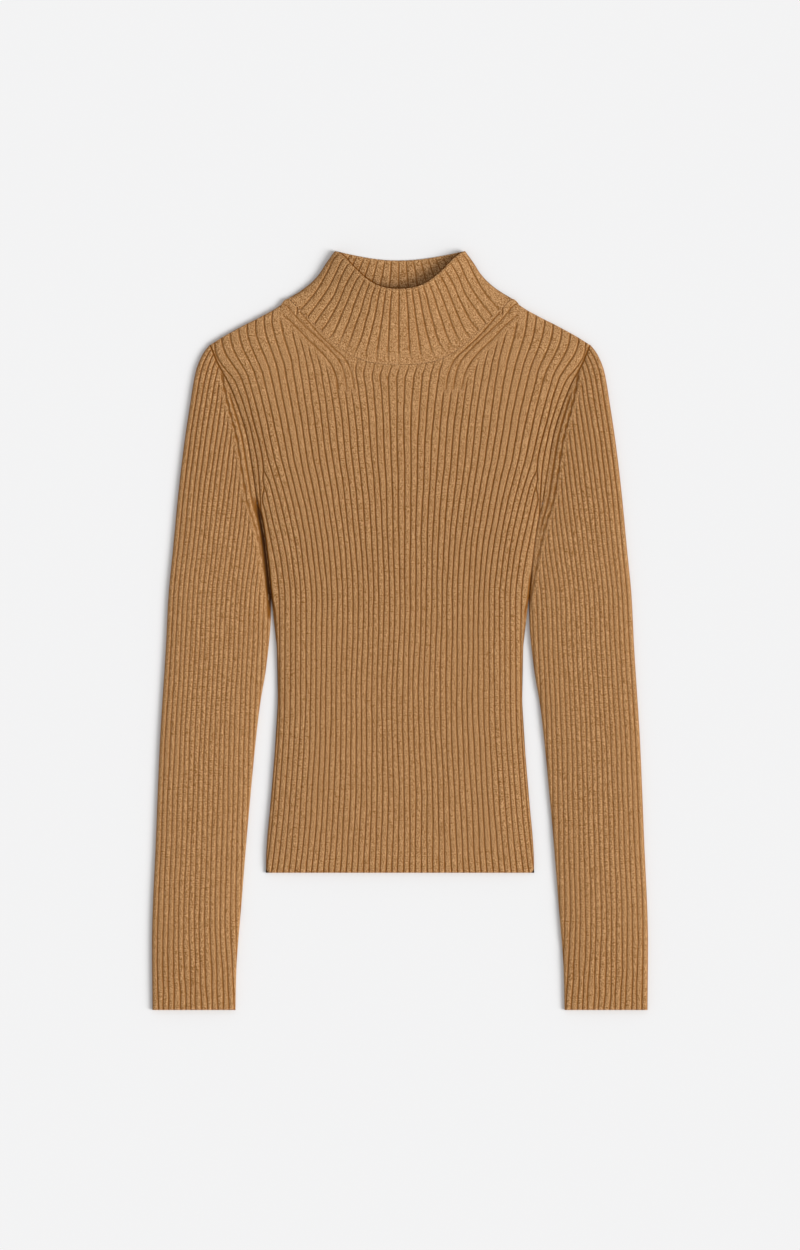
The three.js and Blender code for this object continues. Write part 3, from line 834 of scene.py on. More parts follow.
@dataclass
class Sleeve:
    """A flattened sleeve: two layers joined at an outer and an inner fold, open at both ends.

    Fields: side is -1 on the wearer's right, area and flat are the cut sheet's and are not used,
    corner_rib meets the underarm, valley is half the width of an upper valley, and puff_height
    is the most that the upper layer stands off, reached over puff_reach from the outer and the
    inner fold.
    """

    name: str
    side: int
    area: float = 0.122
    flat: tuple[float, float] = (0.21, 0.665)
    ribs: int = 22
    corner_rib: int = 16
    seed: int = 21
    valley: float = 1.45
    puff_height: float = 2.6
    puff_reach: tuple[float, float] = (11.0, 13.0)
    outer_fold: Line = Line((
        (-379.5, 247.5), (-314.5, 248), (-206.5, 244), (-110.5, 240), (-14.5, 234), (33.5, 231.6),
        (81.5, 227), (141.5, 221.2), (189.5, 215.4), (225.5, 210), (249.5, 206.2), (261.5, 203.6),
        (273.5, 198.8), (280, 194.9), (285.5, 190.36),
    ))
    inner_fold: Line = Line((
        (-379.5, 164.5), (-350, 164), (-266.5, 158), (-170.5, 150), (-74.5, 140), (-38.5, 134),
        (10.5, 129.2), (30.5, 128.66),
    ))
    rib_width: Line = Line((
        (-379.5, 5.45), (-269.5, 5.15), (-169.5, 5), (30.5, 4.78), (130.5, 5), (285.5, 5.3),
    ))
    # Width of the two ribs that follow the armhole seam, against height on the garment.
    seam_ribs: Line = Line((
        (12, 0), (30, 2), (70, 5.3), (93, 7.1), (113, 9.3), (136, 10.8), (160, 11.2), (202, 10.8),
        (229.5, 8.9), (239.5, 7.1), (253.5, 3), (258, 0),
    ))

    def rib_line(self, rib: Array, y: Array) -> Array:
        """Distance from the centre line of a rib line, which runs beside the outer fold."""
        return self.outer_fold(y) - rib * self.rib_width(y)

    def inside_line(self, y: Array, inset: float) -> Array:
        """Inner fold up to the underarm, then the armhole seam, where the inset runs out."""
        against = OUTLINE.side(y) + SEAM_GAP
        fold = np.where(y > 30, against, np.maximum(self.inner_fold(y), against)) + inset
        seam = against
        if inset > 0:
            seam = seam + inset * (1 - smoothstep((y - UNDERARM_Y) / (4 * inset)))
        return np.where(y < UNDERARM_Y, fold, seam)

    def from_inside(self, place: Array, y: Array, inset: float) -> Array:
        """Distance square to the inside line, for places not far from it."""
        slope = (self.inside_line(y + 2, inset) - self.inside_line(y - 2, inset)) / 4
        return (place - self.inside_line(y, inset)) / np.sqrt(1 + slope**2)

    def level_of(self, rib: Array, distance: float, inset: float) -> Array:
        """Level at which a rib line comes within a distance of the inside line, by halving."""
        low = np.full(rib.shape, TURN_LEVEL)
        high = np.full(rib.shape, SHOULDER_TIP[1])
        for _ in range(36):
            middle = (low + high) / 2
            further = self.from_inside(self.rib_line(rib, middle), middle, inset) > distance
            low = np.where(further, middle, low)
            high = np.where(further, high, middle)
        return low

    def levels(self, ribs: Array, fine: bool, inset: float) -> Array:
        """Level of each rib column on each row.

        Rows are level from the cuff to the turn, then they turn until they run beside the inside
        line at even distances, and the last one lies on it.

        Args:
            ribs: rib numbers of the columns.
            fine: whether the rows are close together.
            inset: how far inside the folds the skin lies.

        Returns:
            Levels with a row for each row and a column for each rib.
        """
        step, turns, band = (4.3, 44, 0.5) if fine else (18.0, 12, 4.0)
        start = CUFF_Y + np.array([0, 0.5, 1.2, 2.4, 4.5])
        level = np.append(start if fine else start[:1], np.arange(CUFF_Y + 8, TURN_LEVEL - 1, step))
        lower = np.repeat(np.append(level, TURN_LEVEL)[:, None], len(ribs), axis=1)
        near = self.level_of(ribs, 12.0, inset)
        share = np.arange(1, turns + 1)[:, None] / turns
        middle = TURN_LEVEL + (near[None, :] - TURN_LEVEL) * share
        distances = np.arange(12.0 - band, -0.01, -band)
        upper = np.stack([self.level_of(ribs, float(d), inset) for d in distances])
        levels = np.concatenate([lower, middle, upper])
        corner = np.argmin(np.abs(ribs - self.corner_rib))
        levels[-1, corner] = UNDERARM_Y if inset == 0 else max(levels[-1, corner], UNDERARM_Y)
        return levels

    def plan(self, ribs: Array, fine: bool, inset: float) -> tuple[Array, Array, Array, Array]:
        """Places of the columns, and how far each is from the folds and from the inside line.

        Args:
            ribs: rib numbers of the columns.
            fine: whether the rows are close together.
            inset: how far inside the folds the skin lies.

        Returns:
            Distance from the centre line, level, distance from the outer fold, distance from the
            inside line.
        """
        y = self.levels(ribs, fine, inset)
        rib = np.broadcast_to(ribs[None, :], y.shape)
        outer = self.outer_fold(y) - inset
        inside = self.inside_line(y, inset)
        wander = Wander(0.55, self.seed)(rib, y) * (1 + 1.3 * smoothstep((-250 - y) / 120))
        place = self.rib_line(rib, y)
        from_seam = self.from_inside(place, y, inset)
        band = self.seam_ribs(y)
        near_band = np.clip((band + 14 - from_seam) / 14, 0, 1) ** 2 * smoothstep(from_seam / 8)
        wander = wander + 1.7 * near_band * smoothstep(band / 8)
        held = np.clip(np.minimum(place - inside, outer - place) / 10, 0, 1)
        place = np.clip(place + held * wander, inside, outer)
        from_outer = (outer - place) / np.sqrt(1 + self.outer_fold.slope(y) ** 2)
        return place, y, from_outer, self.from_inside(place, y, inset)

    def upper_valley(self, column: Array, y: Array, from_inside: Array) -> Array:
        """Depth share of the upper layer's valleys.

        The sleeve's own ribs end in small steps at the band of two ribs along the armhole seam,
        which has a valley at its edge and one along its middle.

        Args:
            column: rib numbers of the columns.
            y: levels.
            from_inside: distances from the inside line.

        Returns:
            The share at each point.
        """
        band = self.seam_ribs(y)
        jog = np.abs(column - np.floor(column) - 0.62) * 2.2 - 0.8
        from_edge = from_inside - band - jog * smoothstep(band / 6)
        from_middle = from_inside - band / 2
        own = rib_valley(column, self.rib_width(y), self.valley)
        own = own * (1 - smoothstep(band / 3) * (1 - smoothstep((from_edge - 2.0) / 1.8)))
        edge = valley_share(from_edge, 1.2) * smoothstep(band / 2)
        middle = valley_share(from_middle, 1.2) * smoothstep((band - 6) / 3)
        both = np.maximum(edge * (np.abs(from_edge) < 1.6), middle * (np.abs(from_middle) < 1.6))
        return np.maximum(own, both) * (0.56 + 0.14 * smoothstep((y - 60) / 120))

    def upper_groove(self, valley: Array, y: Array, from_inside: Array) -> Array:
        """Groove value of painted shade: valleys, armhole seam and the shadow in the cleft."""
        armhole = smoothstep((y - UNDERARM_Y) / 14)
        # Painted shade in the valleys and along the armhole seam, more towards the cuff.
        groove = np.maximum(valley, armhole * valley_share(from_inside, 1.1))
        groove = groove * (1.35 - 0.35 * smoothstep((y - CUFF_Y) / 120))
        # Painted shadow that the body casts on the sleeve's inner edge in the cleft, wide on the
        # wearer's right.
        wide = 1.0 if self.side < 0 else 0.3
        reach = 1 - smoothstep((from_inside - 1.6 * wide) / (4.2 * wide))
        return np.maximum(groove, CLEFT_SHADOW_GROOVE * cleft_share(y, self.side) * reach)

    def softness(self, y: Array) -> Array | float:
        """Where the upper layer rises from its inner fold in a wide curve: beside the wide cleft."""
        return cleft_share(y, self.side) if self.side < 0 else 0.0

    def puff(self, from_outer: Array, from_inside: Array, y: Array) -> Array:
        """How far the upper layer stands off: most in the middle, less at both folds and the cuff."""
        outer, inner = self.puff_reach
        rise = 1 - np.exp(-np.maximum(from_outer, 0) / outer)
        rise = rise * (1 - np.exp(-np.maximum(from_inside, 0) / inner))
        return self.puff_height * rise * (0.4 + 0.6 * smoothstep((y - CUFF_Y) / 30))

    def skin(self, up: bool) -> Skin:
        """Outer skin of one layer.

        Its height is that of the folds, plus or minus a layer lowered along both folds by a
        quarter circle, beside the wide cleft by an S curve, and along the armhole seam by a
        small step.

        Args:
            up: whether this is the upper layer, whose columns are at FINE_SHARES; the lower
                one's are at UNDER_SHARES.

        Returns:
            The grid of points.
        """
        ribs = rib_columns(0, self.ribs, FINE_SHARES if up else UNDER_SHARES)
        place, y, from_outer, from_inside = self.plan(ribs, True, 0.0)
        width = self.rib_width(y)
        rib = (self.outer_fold(y) - place) / width
        column = np.broadcast_to(ribs[None, :], y.shape)
        armhole = smoothstep((y - UNDERARM_Y) / 14)
        fold = fold_height(y, self.side)
        if up:
            band = self.seam_ribs(y)
            rib = np.where(from_inside < band, from_inside * 2 / np.maximum(band, 0.1), rib)
            valley = self.upper_valley(column, y, from_inside)
            groove = self.upper_groove(valley, y, from_inside)
            puff = self.puff(from_outer, from_inside, y)
            full = FRONT_BASE + CREST_WALL - (CREST_WALL - VALLEY_WALL) * valley + puff
            fold = fold + 1.25 * armhole
            beside = rolled(from_inside, 2.8 - 1.2 * armhole, self.softness(y))
        else:
            groove = valley = rib_valley(column, width, UNDER_REACH)
            puff = 0.0
            full = UNDER_GROOVE * valley
            fold = fold - fold * armhole
            beside = rolled(from_inside, 2.4, 0.0)
        at_outer = round_edge(from_outer, FOLD_RADIUS)
        z = MID_HEIGHT + (fold + (full - fold) * beside - MID_HEIGHT) * at_outer
        cuff = 1 - round_edge(y - CUFF_Y, EDGE_RADIUS)
        z = z - 0.45 * cuff * (z - MID_HEIGHT - puff) * at_outer
        return Skin.over(self.side * place, y, z, rib, groove)

    def hollow(self, up: bool) -> Skin:
        """Inner skin of one layer, beside the narrow hollow between the layers."""
        ribs = np.arange(self.ribs + 1.0)
        place, y, from_outer, from_inside = self.plan(ribs, False, INNER_INSET)
        armhole = smoothstep((y - UNDERARM_Y - 4) / 14)
        soft = self.softness(y)
        lift = np.maximum(rolled(from_inside, 0.8, soft), armhole) * round_edge(from_outer, 0.8)
        open_height = LAYER_GAP / 2 + self.puff(from_outer, from_inside, y)
        beside = np.exp(-from_inside / 3) * (1 - soft) + (1 - rolled(from_inside, 3.0, 1.0)) * soft
        fold = MID_HEIGHT + (fold_height(y, self.side) - MID_HEIGHT) * beside
        z = fold + (open_height if up else -LAYER_GAP / 2) * lift
        return Skin.over(self.side * place, y, z, (247 - place) / 5)

    def wall(self) -> Wall:
        """Both layers, their hollow and the rims at the cuff and the armhole.

        Along the inner fold the lower layer takes the upper one's points, so that both meet.

        Returns:
            The closed wall.
        """
        wall = Wall()
        folds = []
        skins = {up: self.skin(up) for up in (True, False)}
        corner = self.corner_rib * len(UNDER_SHARES)
        common = common_columns(self.ribs)[corner:]
        skins[False].points[-1, corner:] = skins[True].points[-1, common]
        for up, skin in skins.items():
            outer = wall.skin(skin, turned=not up)
            inner = wall.skin(self.hollow(up), turned=up)
            wall.rim(outer[0], inner[0], turned=up)
            last = self.corner_rib * len(FINE_SHARES if up else UNDER_SHARES)
            wall.rim(outer[-1, : last + 1], inner[-1, : self.corner_rib + 1], turned=not up)
            folds.append(outer[-1, last:])
        wall.close(*folds)
        return wall


@dataclass
class Collar:
    """Turtleneck collar: a ring of ribs, flattened, with its front layer lifted at the mouth.

    Fields: area and flat are the cut sheet's and are not used, height is from seam to rim,
    mouth_lift and fold_lift raise the rim's middle and ends, inwards leads from the side fold to
    the inside, and lip_height is that of the loops on the rim.
    """

    name: str = "collar_knit"
    area: float = 0.030
    flat: tuple[float, float] = (0.516, 0.076)
    front_ribs: int = 12
    back_ribs: int = 9
    height: float = 70.0
    mouth_lift: float = 8.6
    fold_lift: float = 1.3
    rows: int = 44
    front_rim: Points = (
        (65, 379.5), (57, 375), (47, 364.5), (36, 354), (23, 345.5), (10, 342), (0, 341.5),
    )
    back_rim: Points = ((65, 379.5), (48, 375.5), (30, 372), (14, 370), (0, 369.5))
    fold: Points = ((111, 332.5), (99, 339.8), (88, 348.5), (80, 357.5), (74, 367), (65, 379.5))
    inwards: tuple[float, float] = (-0.85, -0.53)
    lip_height: float = 0.5
    # Valley lines of the front layer from the centre outwards: where each meets the neck seam and
    # the rim, as distances from the centre line, and the points between.
    front_lines: tuple[tuple[float, float, Points], ...] = (
        (0, 0, ((0, 300), (0, 320))),
        (11.7, 7, ((9.7, 300.5), (9, 317), (8.3, 327), (7.4, 338))),
        (23.5, 12.8, ((21.5, 280.5), (18.6, 300.5), (15.9, 320.5), (14.4, 331))),
        (35.5, 18.7, ((32.6, 280.5), (27.2, 300.5), (23, 320.5), (21.3, 331))),
        (47.5, 23.5, ((38.9, 290.5), (33.3, 310.5), (30.4, 320.5), (27.6, 334))),
        (55, 29, ((49.2, 290.5), (42.2, 310.5), (38.5, 320.5), (34.6, 334))),
        (63, 34, ((59, 290.5), (50.6, 310.5), (43.6, 330.5), (39.4, 341))),
        (71, 39, ((64.7, 300.5), (56, 320.5), (48, 340.5), (43.6, 350))),
        (79, 44.3, ((70.4, 310.5), (60, 330.5), (53.4, 346.5), (47.4, 357))),
        (86, 50, ((76, 320.5), (66, 335.5), (59.3, 352), (53.2, 364))),
        (93, 55, ((81.5, 328), (72, 342), (64.8, 356), (59, 368.5))),
        (100, 61, ((88.5, 333), (79.5, 346), (72, 360), (66.6, 371))),
    )

    def lines(self) -> list[Curve]:
        """The front layer's valley lines from seam to rim, with the side fold as the last."""
        seam, rim = Curve(FRONT_NECK), Curve(self.front_rim)
        curves = []
        for low, high, between in self.front_lines:
            start = (low, float(seam.height_over(np.array(low))) + NECK_GAP)
            end = (high, float(rim.height_over(np.array(high))))
            curves.append(Curve((start, *between, end)))
        return [*curves, Curve(self.fold)]

    def front_plan(self, size: Array, v: Array, inset: float) -> tuple[Array, ...]:
        """Places on the front layer: straight across each rib, between its two valley lines.

        Args:
            size: share of the way from the centre line to the side fold, the same in each row.
            v: share of the way from the neck seam to the rim, the same in each column.
            inset: how far inside the fold the skin ends.

        Returns:
            Distance from the centre line, y, distance from the side fold, width of the rib.
        """
        places = np.stack([curve.at(v[:, 0]) for curve in self.lines()])
        places[-1] += np.array(self.inwards) * inset
        widths = np.linalg.norm(np.diff(places, axis=0), axis=-1)
        along = np.concatenate([np.zeros((1, len(v))), np.cumsum(widths, axis=0)])
        rib = size * self.front_ribs
        low = np.clip(np.floor(rib).astype(int), 0, self.front_ribs - 1)
        share = rib - low
        row = np.arange(len(v))[:, None]
        point = places[low, row] * (1 - share[..., None]) + places[low + 1, row] * share[..., None]
        from_fold = along[-1][:, None] - along[low + 1, row] + (1 - share) * widths[low, row]
        return point[..., 0], point[..., 1], from_fold, widths[low, row]

    def back_plan(self, size: Array, v: Array, inset: float) -> tuple[Array, ...]:
        """Places on the back layer.

        A rib lies straight between seam and rim, and bends by the cube of the share size so that
        it ends on the side fold.

        Args:
            size: share of the way from the centre line to the side fold.
            v: share of the way from the neck seam to the rim.
            inset: how far inside the fold the skin ends.

        Returns:
            What front_plan gives.
        """
        seam, rim, fold = Curve(BACK_NECK), Curve(self.back_rim), Curve(self.fold)
        half = seam.length + (rim.length - seam.length) * v
        reach = 1 - inset / half

        def straight(share: Array) -> Array:
            """Point on the straight line from the seam to the rim."""
            low = seam.at(1 - share) + np.array([0.0, NECK_GAP])
            return low + (rim.at(1 - share) - low) * v[..., None]

        end = fold.at(v) + np.array(self.inwards) * inset
        bend = end - straight(reach)
        point = straight(size * reach) + bend * (size**3)[..., None]
        return point[..., 0], point[..., 1], (1 - size) * reach * half, half / self.back_ribs

    def fold_height(self, v: Array) -> Array:
        """Height of the side folds, which rise towards the rim."""
        return MID_HEIGHT + self.fold_lift * v

    def front_base(self, size: Array, v: Array) -> Array:
        """Height of the front layer's inner side, most at the middle of the rim."""
        lift = self.mouth_lift * v**1.6 * (1 - size**2.4)
        return self.fold_height(v) + LAYER_GAP / 2 + lift

    def valley(self, rib: Array, v: Array, width: Array, at_front: Array | float) -> Array:
        """Depth share of the valleys, less near the rim and near the front's neck seam.

        Args:
            rib: rib numbers.
            v: share of the way from the neck seam to the rim.
            width: widths of the ribs.
            at_front: share by which the neck seam makes the valleys shallow.

        Returns:
            The share at each point.
        """
        at_seam = np.exp(-((v * self.height / 9) ** 2)) * at_front
        at_rim = 0.4 + 0.6 * smoothstep((1 - v) * self.height / 4)
        return rib_valley(rib, width, 1.35) * 0.68 * (1 - 0.9 * at_seam) * at_rim

    def layer(self, front: bool, outside: bool) -> Skin:
        """One side of one layer.

        Only the sides that show have ribs: the front's outside and the back's inside. There the
        wall is thinner in valleys and towards seam and rim, and the rim has a small loop at each
        column of stitches. The back's inside has a painted shadow along the front rim that hides it.

        Args:
            front: whether it is the front layer.
            outside: whether it is the collar's outer side.

        Returns:
            The grid of points.
        """
        count = self.front_ribs if front else self.back_ribs
        ribbed = front == outside
        right = rib_columns(0, count, FINE_SHARES) if ribbed else np.arange(count + 1.0)
        v_rows = np.unique(np.concatenate([np.linspace(0, 1, self.rows), [0.01, 0.975, 0.99]]))
        rib, v = np.meshgrid(both_sides(right), v_rows)
        size = np.abs(rib) / count
        plan = self.front_plan if front else self.back_plan
        place, y, from_edge, width = plan(size, v, 0.0 if outside else INNER_INSET)
        from_seam, from_rim = v * self.height, (1 - v) * self.height
        stray = Wander(0.35, 31 if front else 32)(rib, from_seam) - 1.5 * (1 - size)
        x = np.sign(rib) * place + stray * np.clip(from_edge / 9, 0, 1) * smoothstep(v * 6)
        fold = self.fold_height(v)
        base = self.front_base(size, v) + PUFF(x, y)
        lip = np.minimum(0.8 + 0.2 * round_edge(from_seam, 1.8), 0.3 + 0.7 * round_edge(from_rim, 1.8))
        valley = np.zeros(x.shape)
        if ribbed:
            valley = self.valley(rib, v, width, 1 - smoothstep((size - 0.35) / 0.4) if front else 0.0)
            loops = self.lip_height * np.abs(np.sin(2 * np.pi * rib)) ** 0.7
            y = y + loops * (1 - smoothstep(from_rim / 1.6)) * np.clip(from_edge / 4, 0, 1)
        if front and outside:
            top = base + VALLEY_WALL + (CREST_WALL - VALLEY_WALL) * (1 - valley) * lip
            z = fold + (top - fold) * round_edge(from_edge, 3.0)
        elif front:
            z = fold + (base - fold) * round_edge(from_edge, 2.0)
        elif outside:
            z = fold * (1 - round_edge(from_edge, 3.0))
        else:
            top = 0.95 + (PLAIN_WALL - 0.95) * (1 - valley) * lip
            z = fold + (top - fold) * round_edge(from_edge, 2.4)
            # Painted shadow that the front rim casts on the back's inside, a groove up to 1.5.
            under_rim = Curve(self.front_rim).distance(np.abs(x), y)
            valley = np.maximum(valley, 1.5 * (1 - smoothstep((under_rim - 0.2) / 1.7)))
        return Skin(np.stack([x, y, z], -1), np.stack([rib, from_seam / COURSE], -1), valley)

    def wall(self) -> Wall:
        """Both layers, inside and outside, with the rims at the seam and at the mouth."""
        wall = Wall()
        for front in (True, False):
            outer = wall.skin(self.layer(front, True), turned=not front)
            inner = wall.skin(self.layer(front, False), turned=front)
            fine, coarse = (outer, inner) if front else (inner, outer)
            wall.rim(fine[0], coarse[0], turned=True)
            wall.rim(fine[-1], coarse[-1])
        return wall


@dataclass(frozen=True)
class Linking:
    """Row of small stitches that joins the collar to the front, just above the neck seam.

    Fields: lift is a stitch's height over the front's base, above its distance from the seam
    and turn its angle to the seam.
    """

    name: str = "neck_linking"
    pitch: float = 3.1
    length: float = 2.9
    width: float = 1.15
    thickness: float = 0.9
    lift: float = 1.95
    above: float = 0.9
    turn: float = 0.55

    def wall(self) -> Wall:
        """Small egg shapes along the seam, each turned a little from the seam's direction.

        An egg's point is its centre plus length, width and thickness times the cosines and sines
        of two angles along the three directions of the stitch.

        Returns:
            All stitches as one wall.
        """
        seam = Curve(FRONT_NECK)
        count = int(seam.length / self.pitch)
        share = (np.arange(count) + 0.5) / count
        centre = seam.at(share)
        ahead = seam.at(np.clip(share + 0.01, 0, 1)) - seam.at(np.clip(share - 0.01, 0, 1))
        angle = np.arctan2(ahead[:, 1], ahead[:, 0])
        base = FRONT_BASE + self.lift + PUFF(centre[:, 0], centre[:, 1])
        around, along = np.meshgrid(np.linspace(0, 2 * np.pi, 6), np.linspace(-np.pi / 2, np.pi / 2, 5))
        flat_x = self.length / 2 * np.sin(along)
        flat_y = self.width / 2 * np.cos(along) * np.cos(around)
        high = self.thickness / 2 * np.cos(along) * np.sin(around)
        knit = np.stack([np.full(high.shape, 0.77), np.full(high.shape, 0.25)], -1)
        wall = Wall()
        for side in (1, -1):
            for (from_centre, y), way, z in zip(centre, angle + self.turn, base, strict=True):
                x = from_centre + flat_x * math.cos(way) - flat_y * math.sin(way)
                up = y + self.above + flat_x * math.sin(way) + flat_y * math.cos(way)
                points = np.stack([side * x, up, z + high], -1)
                wall.skin(Skin(points, knit, np.zeros(high.shape)), turned=side < 0)
        return wall


class Socket:
    """A shader value with the arithmetic that the finish uses."""

    def __init__(self, tree: "Tree", link: bpy.types.NodeSocket) -> None:
        """Wraps an output of a node in a tree."""
        self.tree = tree
        self.link = link

    def math(self, operation: str, *others: "Socket | float") -> "Socket":
        """A Math node on this value and others."""
        return self.tree.add("ShaderNodeMath", {"operation": operation}, (self, *others))

    def __add__(self, other: "Socket | float") -> "Socket":
        """Sum."""
        return self.math("ADD", other)

    __radd__ = __add__

    def __sub__(self, other: "Socket | float") -> "Socket":
        """Difference."""
        return self.math("SUBTRACT", other)

    def __rsub__(self, other: float) -> "Socket":
        """A number less this value."""
        return self.tree.add("ShaderNodeMath", {"operation": "SUBTRACT"}, (other, self))

    def __mul__(self, other: "Socket | float") -> "Socket":
        """Product."""
        return self.math("MULTIPLY", other)

    __rmul__ = __mul__

    def __truediv__(self, other: "Socket | float") -> "Socket":
        """Quotient."""
        return self.math("DIVIDE", other)

    def __pow__(self, other: float) -> "Socket":
        """Power."""
        return self.math("POWER", other)


class Tree:
    """A material's nodes, made through one method."""

    def __init__(self, name: str) -> None:
        """Starts an empty material of that name."""
        self.material = bpy.data.materials.new(name)
        self.material.use_nodes = True
        self.nodes = self.material.node_tree.nodes
        self.links = self.material.node_tree.links
        self.nodes.clear()

    def add(
        self,
        kind: str,
        settings: dict[str, object] | None = None,
        inputs: Sequence[object] | dict[str, object] = (),
        output: int | str = 0,
    ) -> Socket:
        """Adds a node.

        Args:
            kind: Blender's type of the node.
            settings: its own settings, set first.
            inputs: numbers, colours or sockets, in the order of its sockets or by their names.
            output: which output the result reads.

        Returns:
            The node's output.
        """
        node = self.nodes.new(kind)
        for key, value in (settings or {}).items():
            setattr(node, key, value)
        pairs = inputs.items() if isinstance(inputs, dict) else enumerate(inputs)
        for key, value in pairs:
            if isinstance(value, Socket):
                self.links.new(value.link, node.inputs[key])
            else:
                node.inputs[key].default_value = value
        return Socket(self, node.outputs[output])

    def mix(self, factor: Socket | float, a: object, b: object) -> Socket:
        """Colour between a and b."""
        settings = {"data_type": "RGBA", "clamp_factor": True}
        return self.add("ShaderNodeMix", settings, {0: factor, 6: a, 7: b}, output=2)

    def ramp(self, value: Socket, low: float, high: float) -> Socket:
        """Share of the way of a value from low to high, smooth at both ends."""
        settings = {"interpolation_type": "SMOOTHSTEP"}
        return self.add("ShaderNodeMapRange", settings, (value, low, high, 0.0, 1.0))

    def noise(self, scale: float, detail: float = 2.0) -> Socket:
        """Even noise over the object's own coordinates."""
        place = self.add("ShaderNodeTexCoord", output="Object")
        inputs = {"Vector": place, "Scale": scale, "Detail": detail}
        return self.add("ShaderNodeTexNoise", inputs=inputs)

    def finish(self, shader: Socket) -> bpy.types.Material:
        """Ends the tree on a shader and gives the material."""
        output = self.nodes.new("ShaderNodeOutputMaterial")
        self.links.new(shader.link, output.inputs["Surface"])
        return self.material


class Shade(Enum):
    """Colours as shares of light sent back: wool, sheen, and painted shade and shadow."""

    LIGHT = (0.665, 0.385, 0.182, 1.0)
    DARK = (0.215, 0.086, 0.017, 1.0)
    DEEP_SHADOW = (0.06, 0.022, 0.008, 1.0)
    VALLEY_SHADE = (0.215, 0.072, 0.006, 1.0)
    SHEEN = (0.95, 0.64, 0.32, 1.0)


@dataclass(frozen=True)
class RibKnit:
    """Heathered rib knit: two columns of stitches on each rib and painted shade in each valley.

    Fields: wale_offset is from a rib's middle to a column of stitches, as a share of the rib,
    stitch_depth is in metres, fibre and fleck are the scales of the two noises.
    """

    name: str = "heathered_rib_knit"
    wale_offset: float = 0.18
    stitch_depth: float = 0.0005
    fibre: float = 1350.0
    fleck: float = 500.0
    sheen: float = 0.07
    roughness: float = 0.92

    def material(self) -> bpy.types.Material:
        """Makes the material.

        A stitch is a ridge where the course number less half the share of the way from a wale's
        middle to its edge is whole, so that its two legs make a V. Two noises mix light and dark
        fibres, and a painted highlight makes stitches lighter on their ridges. Past a groove of 0.2
        the colour turns to a valley's painted shade, and from 1 to 2 to the darkest painted shadow,
        in the cleft and under the collar's front rim.

        Returns:
            The material.
        """
        tree = Tree(self.name)
        knit = tree.add("ShaderNodeUVMap", {"uv_map": "knit"})
        rib = tree.add("ShaderNodeSeparateXYZ", inputs=(knit,))
        course = Socket(tree, rib.link.node.outputs[1])
        groove = tree.add("ShaderNodeAttribute", {"attribute_name": "groove"}, output="Fac")
        across = (rib.math("FRACT") - 0.5).math("ABSOLUTE")
        leg = ((across - self.wale_offset).math("ABSOLUTE") / self.wale_offset).math("MINIMUM", 1.0)
        phase = course - leg * 0.5
        ridge = (phase * (2 * math.pi)).math("COSINE") * 0.5 + 0.5
        body = (leg * math.pi).math("SINE").math("MAXIMUM", 0.0) ** 0.6
        stitch = ridge * body
        fibre = tree.noise(self.fibre, 0.0)
        heather = tree.ramp(fibre * 0.92 + tree.noise(self.fleck, 1.0) * 0.08, 0.44, 0.56)
        # Painted highlight: stitch ridges are lighter in colour.
        tone = heather * 0.8 + stitch * 0.2
        wool = tree.mix(tone, Shade.DARK.value, Shade.LIGHT.value)
        # Painted shade: past a groove of 0.2 the colour turns to the darker valley colour.
        edge = tree.ramp(groove + (fibre - 0.5) * 0.6, 0.2, 0.9)
        ribbed = tree.mix(edge * 0.92, wool, Shade.VALLEY_SHADE.value)
        # Painted shadow: from a groove of 1 to 2 the colour turns to the darkest one, in the cleft and
        # under the collar's front rim.
        colour = tree.mix(tree.ramp(groove, 1.0, 2.0) * 0.8, ribbed, Shade.DEEP_SHADOW.value)
        height = stitch * 0.75 + fibre * 0.3
        bump = tree.add(
            "ShaderNodeBump",
            inputs={"Strength": 0.7, "Distance": self.stitch_depth, "Height": height},
        )
        shader = tree.add(
            "ShaderNodeBsdfPrincipled",
            inputs={
                "Base Color": colour,
                "Roughness": self.roughness,
                "Normal": bump,
                "Sheen Weight": self.sheen,
                "Sheen Roughness": 0.5,
                "Sheen Tint": Shade.SHEEN.value,
                "Specular IOR Level": 0.1,
            },
        )
        return tree.finish(shader)


@dataclass(frozen=True)
class PaleFloor:
    """Plain matt floor."""

    name: str = "pale_floor"

    def material(self) -> bpy.types.Material:
        """Makes the material: one pale colour with a faint mottling."""
        tree = Tree(self.name)
        lighter = tuple(part * 1.006 for part in FLOOR_COLOUR)
        colour = tree.mix(tree.noise(3.0), (*FLOOR_COLOUR, 1.0), (*lighter, 1.0))
        inputs = {"Base Color": colour, "Roughness": 0.9, "Specular IOR Level": 0.0}
        return tree.finish(tree.add("ShaderNodeBsdfPrincipled", inputs=inputs))


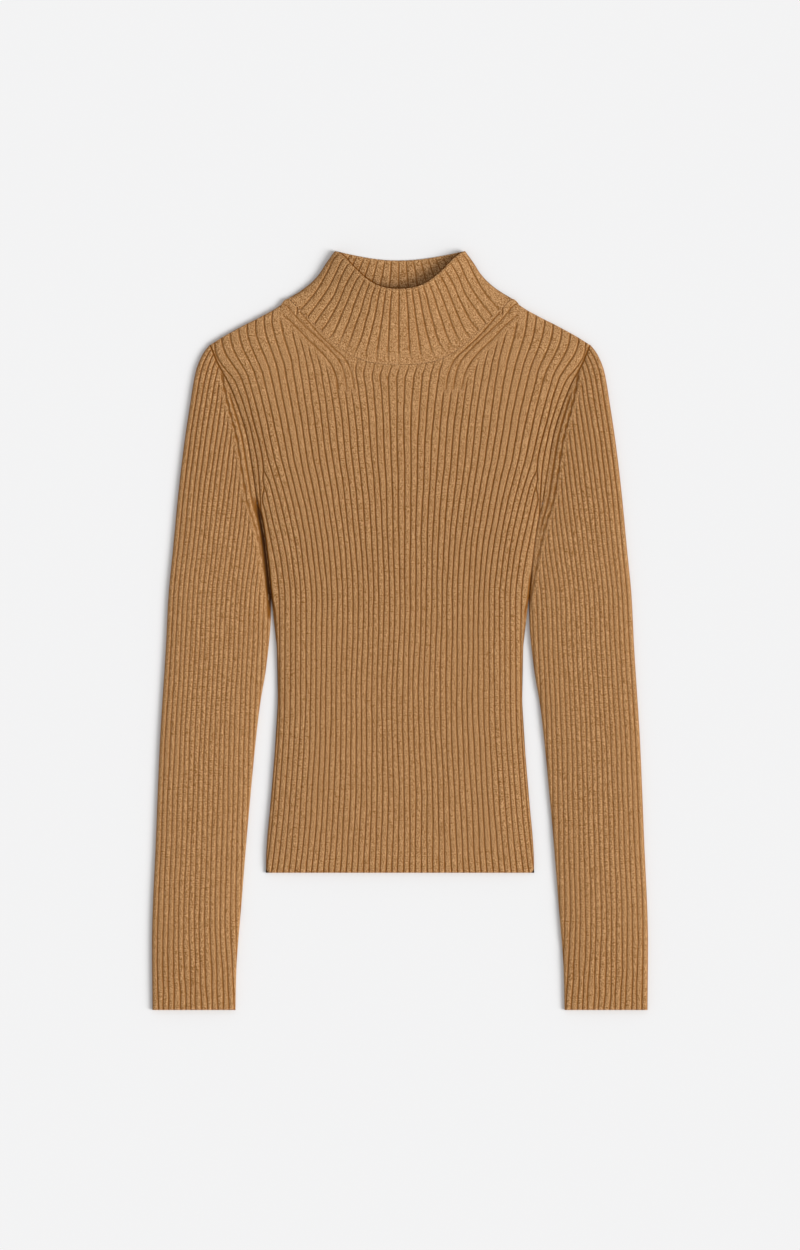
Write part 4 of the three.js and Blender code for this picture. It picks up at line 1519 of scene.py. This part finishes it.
@dataclass(frozen=True)
class Studio:
    """Camera straight above, pale floor, soft light all round and a low one from the right.

    Fields: view_height and centre are the photograph's on the floor, in metres, world and key
    are the lights' strengths, key_from the way towards the key light, key_angle its width.
    """

    view_height: float = 1.25
    centre: tuple[float, float] = (0.0, 0.0055)
    world: float = 0.54
    key: float = 2.72
    key_from: tuple[float, float, float] = (0.80, -0.20, 0.62)
    key_angle: float = 0.55

    def camera(self) -> None:
        """Looks straight down, with the photograph's long side as tall as view_height."""
        data = bpy.data.cameras.new("camera")
        data.type = "ORTHO"
        data.ortho_scale = self.view_height
        camera = link("camera", data)
        camera.location = (*self.centre, 2.0)
        bpy.context.scene.camera = camera

    def floor(self) -> None:
        """A large square at the height that the sweater lies on."""
        mesh = bpy.data.meshes.new("floor")
        half = 4.0
        corners = [(-half, -half, 0), (half, -half, 0), (half, half, 0), (-half, half, 0)]
        mesh.from_pydata(corners, [], [(0, 1, 2, 3)])
        floor = link("floor", mesh)
        mesh.materials.append(PaleFloor().material())

    def lights(self) -> None:
        """An even world and one wide sun."""
        world = bpy.data.worlds.new("studio")
        world.use_nodes = True
        background = world.node_tree.nodes["Background"]
        background.inputs["Color"].default_value = (1.0, 1.0, 1.0, 1.0)
        background.inputs["Strength"].default_value = self.world
        bpy.context.scene.world = world
        data = bpy.data.lights.new("key", "SUN")
        data.energy = self.key
        data.angle = self.key_angle
        across, along, up = self.key_from
        polar = math.acos(up / math.hypot(*self.key_from))
        link("key", data).rotation_euler = (0.0, polar, math.atan2(along, across))

    def build(self) -> None:
        """Sets the stage and the colour view."""
        self.camera()
        self.floor()
        self.lights()
        bpy.context.scene.view_settings.view_transform = "Standard"


def dress(piece: bpy.types.Object, finish: bpy.types.Material, *nodes: str) -> bpy.types.Object:
    """Gives a piece its finish and its place in the frame.

    Args:
        piece: the piece.
        finish: its material.
        nodes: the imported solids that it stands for.

    Returns:
        The piece.
    """
    piece.data.materials.append(finish)
    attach(piece, "root")
    if nodes:
        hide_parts(*nodes)
    LOG.info("%s: %d triangles", piece.name, len(piece.data.polygons))
    return piece


def corners(bounds: Sequence[Sequence[float]]) -> list[list[float]]:
    """A box's lowest and highest corner as plain lists."""
    return [[float(value) for value in corner] for corner in bounds]


def main() -> None:
    """Builds the pieces around the frame and sets the stage."""
    logging.basicConfig(level=logging.INFO, format="%(name)s: %(message)s")
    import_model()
    knit = RibKnit().material()

    back = Back()
    back_piece = dress(back.wall().mesh(back.name), knit, "back")

    front = Front()
    front_piece = dress(front.wall().mesh(front.name), knit, "front")

    for node, side in (("sleeve_left", 1), ("sleeve_right", -1)):
        sleeve = Sleeve(name=f"{node}_knit", side=side, seed=20 + side)
        piece = dress(sleeve.wall().mesh(sleeve.name), knit, node)

    collar = Collar()
    linking = Linking()
    stitches = dress(linking.wall().mesh(linking.name), knit)
    collar_piece = dress(collar.wall().mesh(collar.name), knit, "collar")

    Studio().build()


if __name__ == "__main__":
    main()
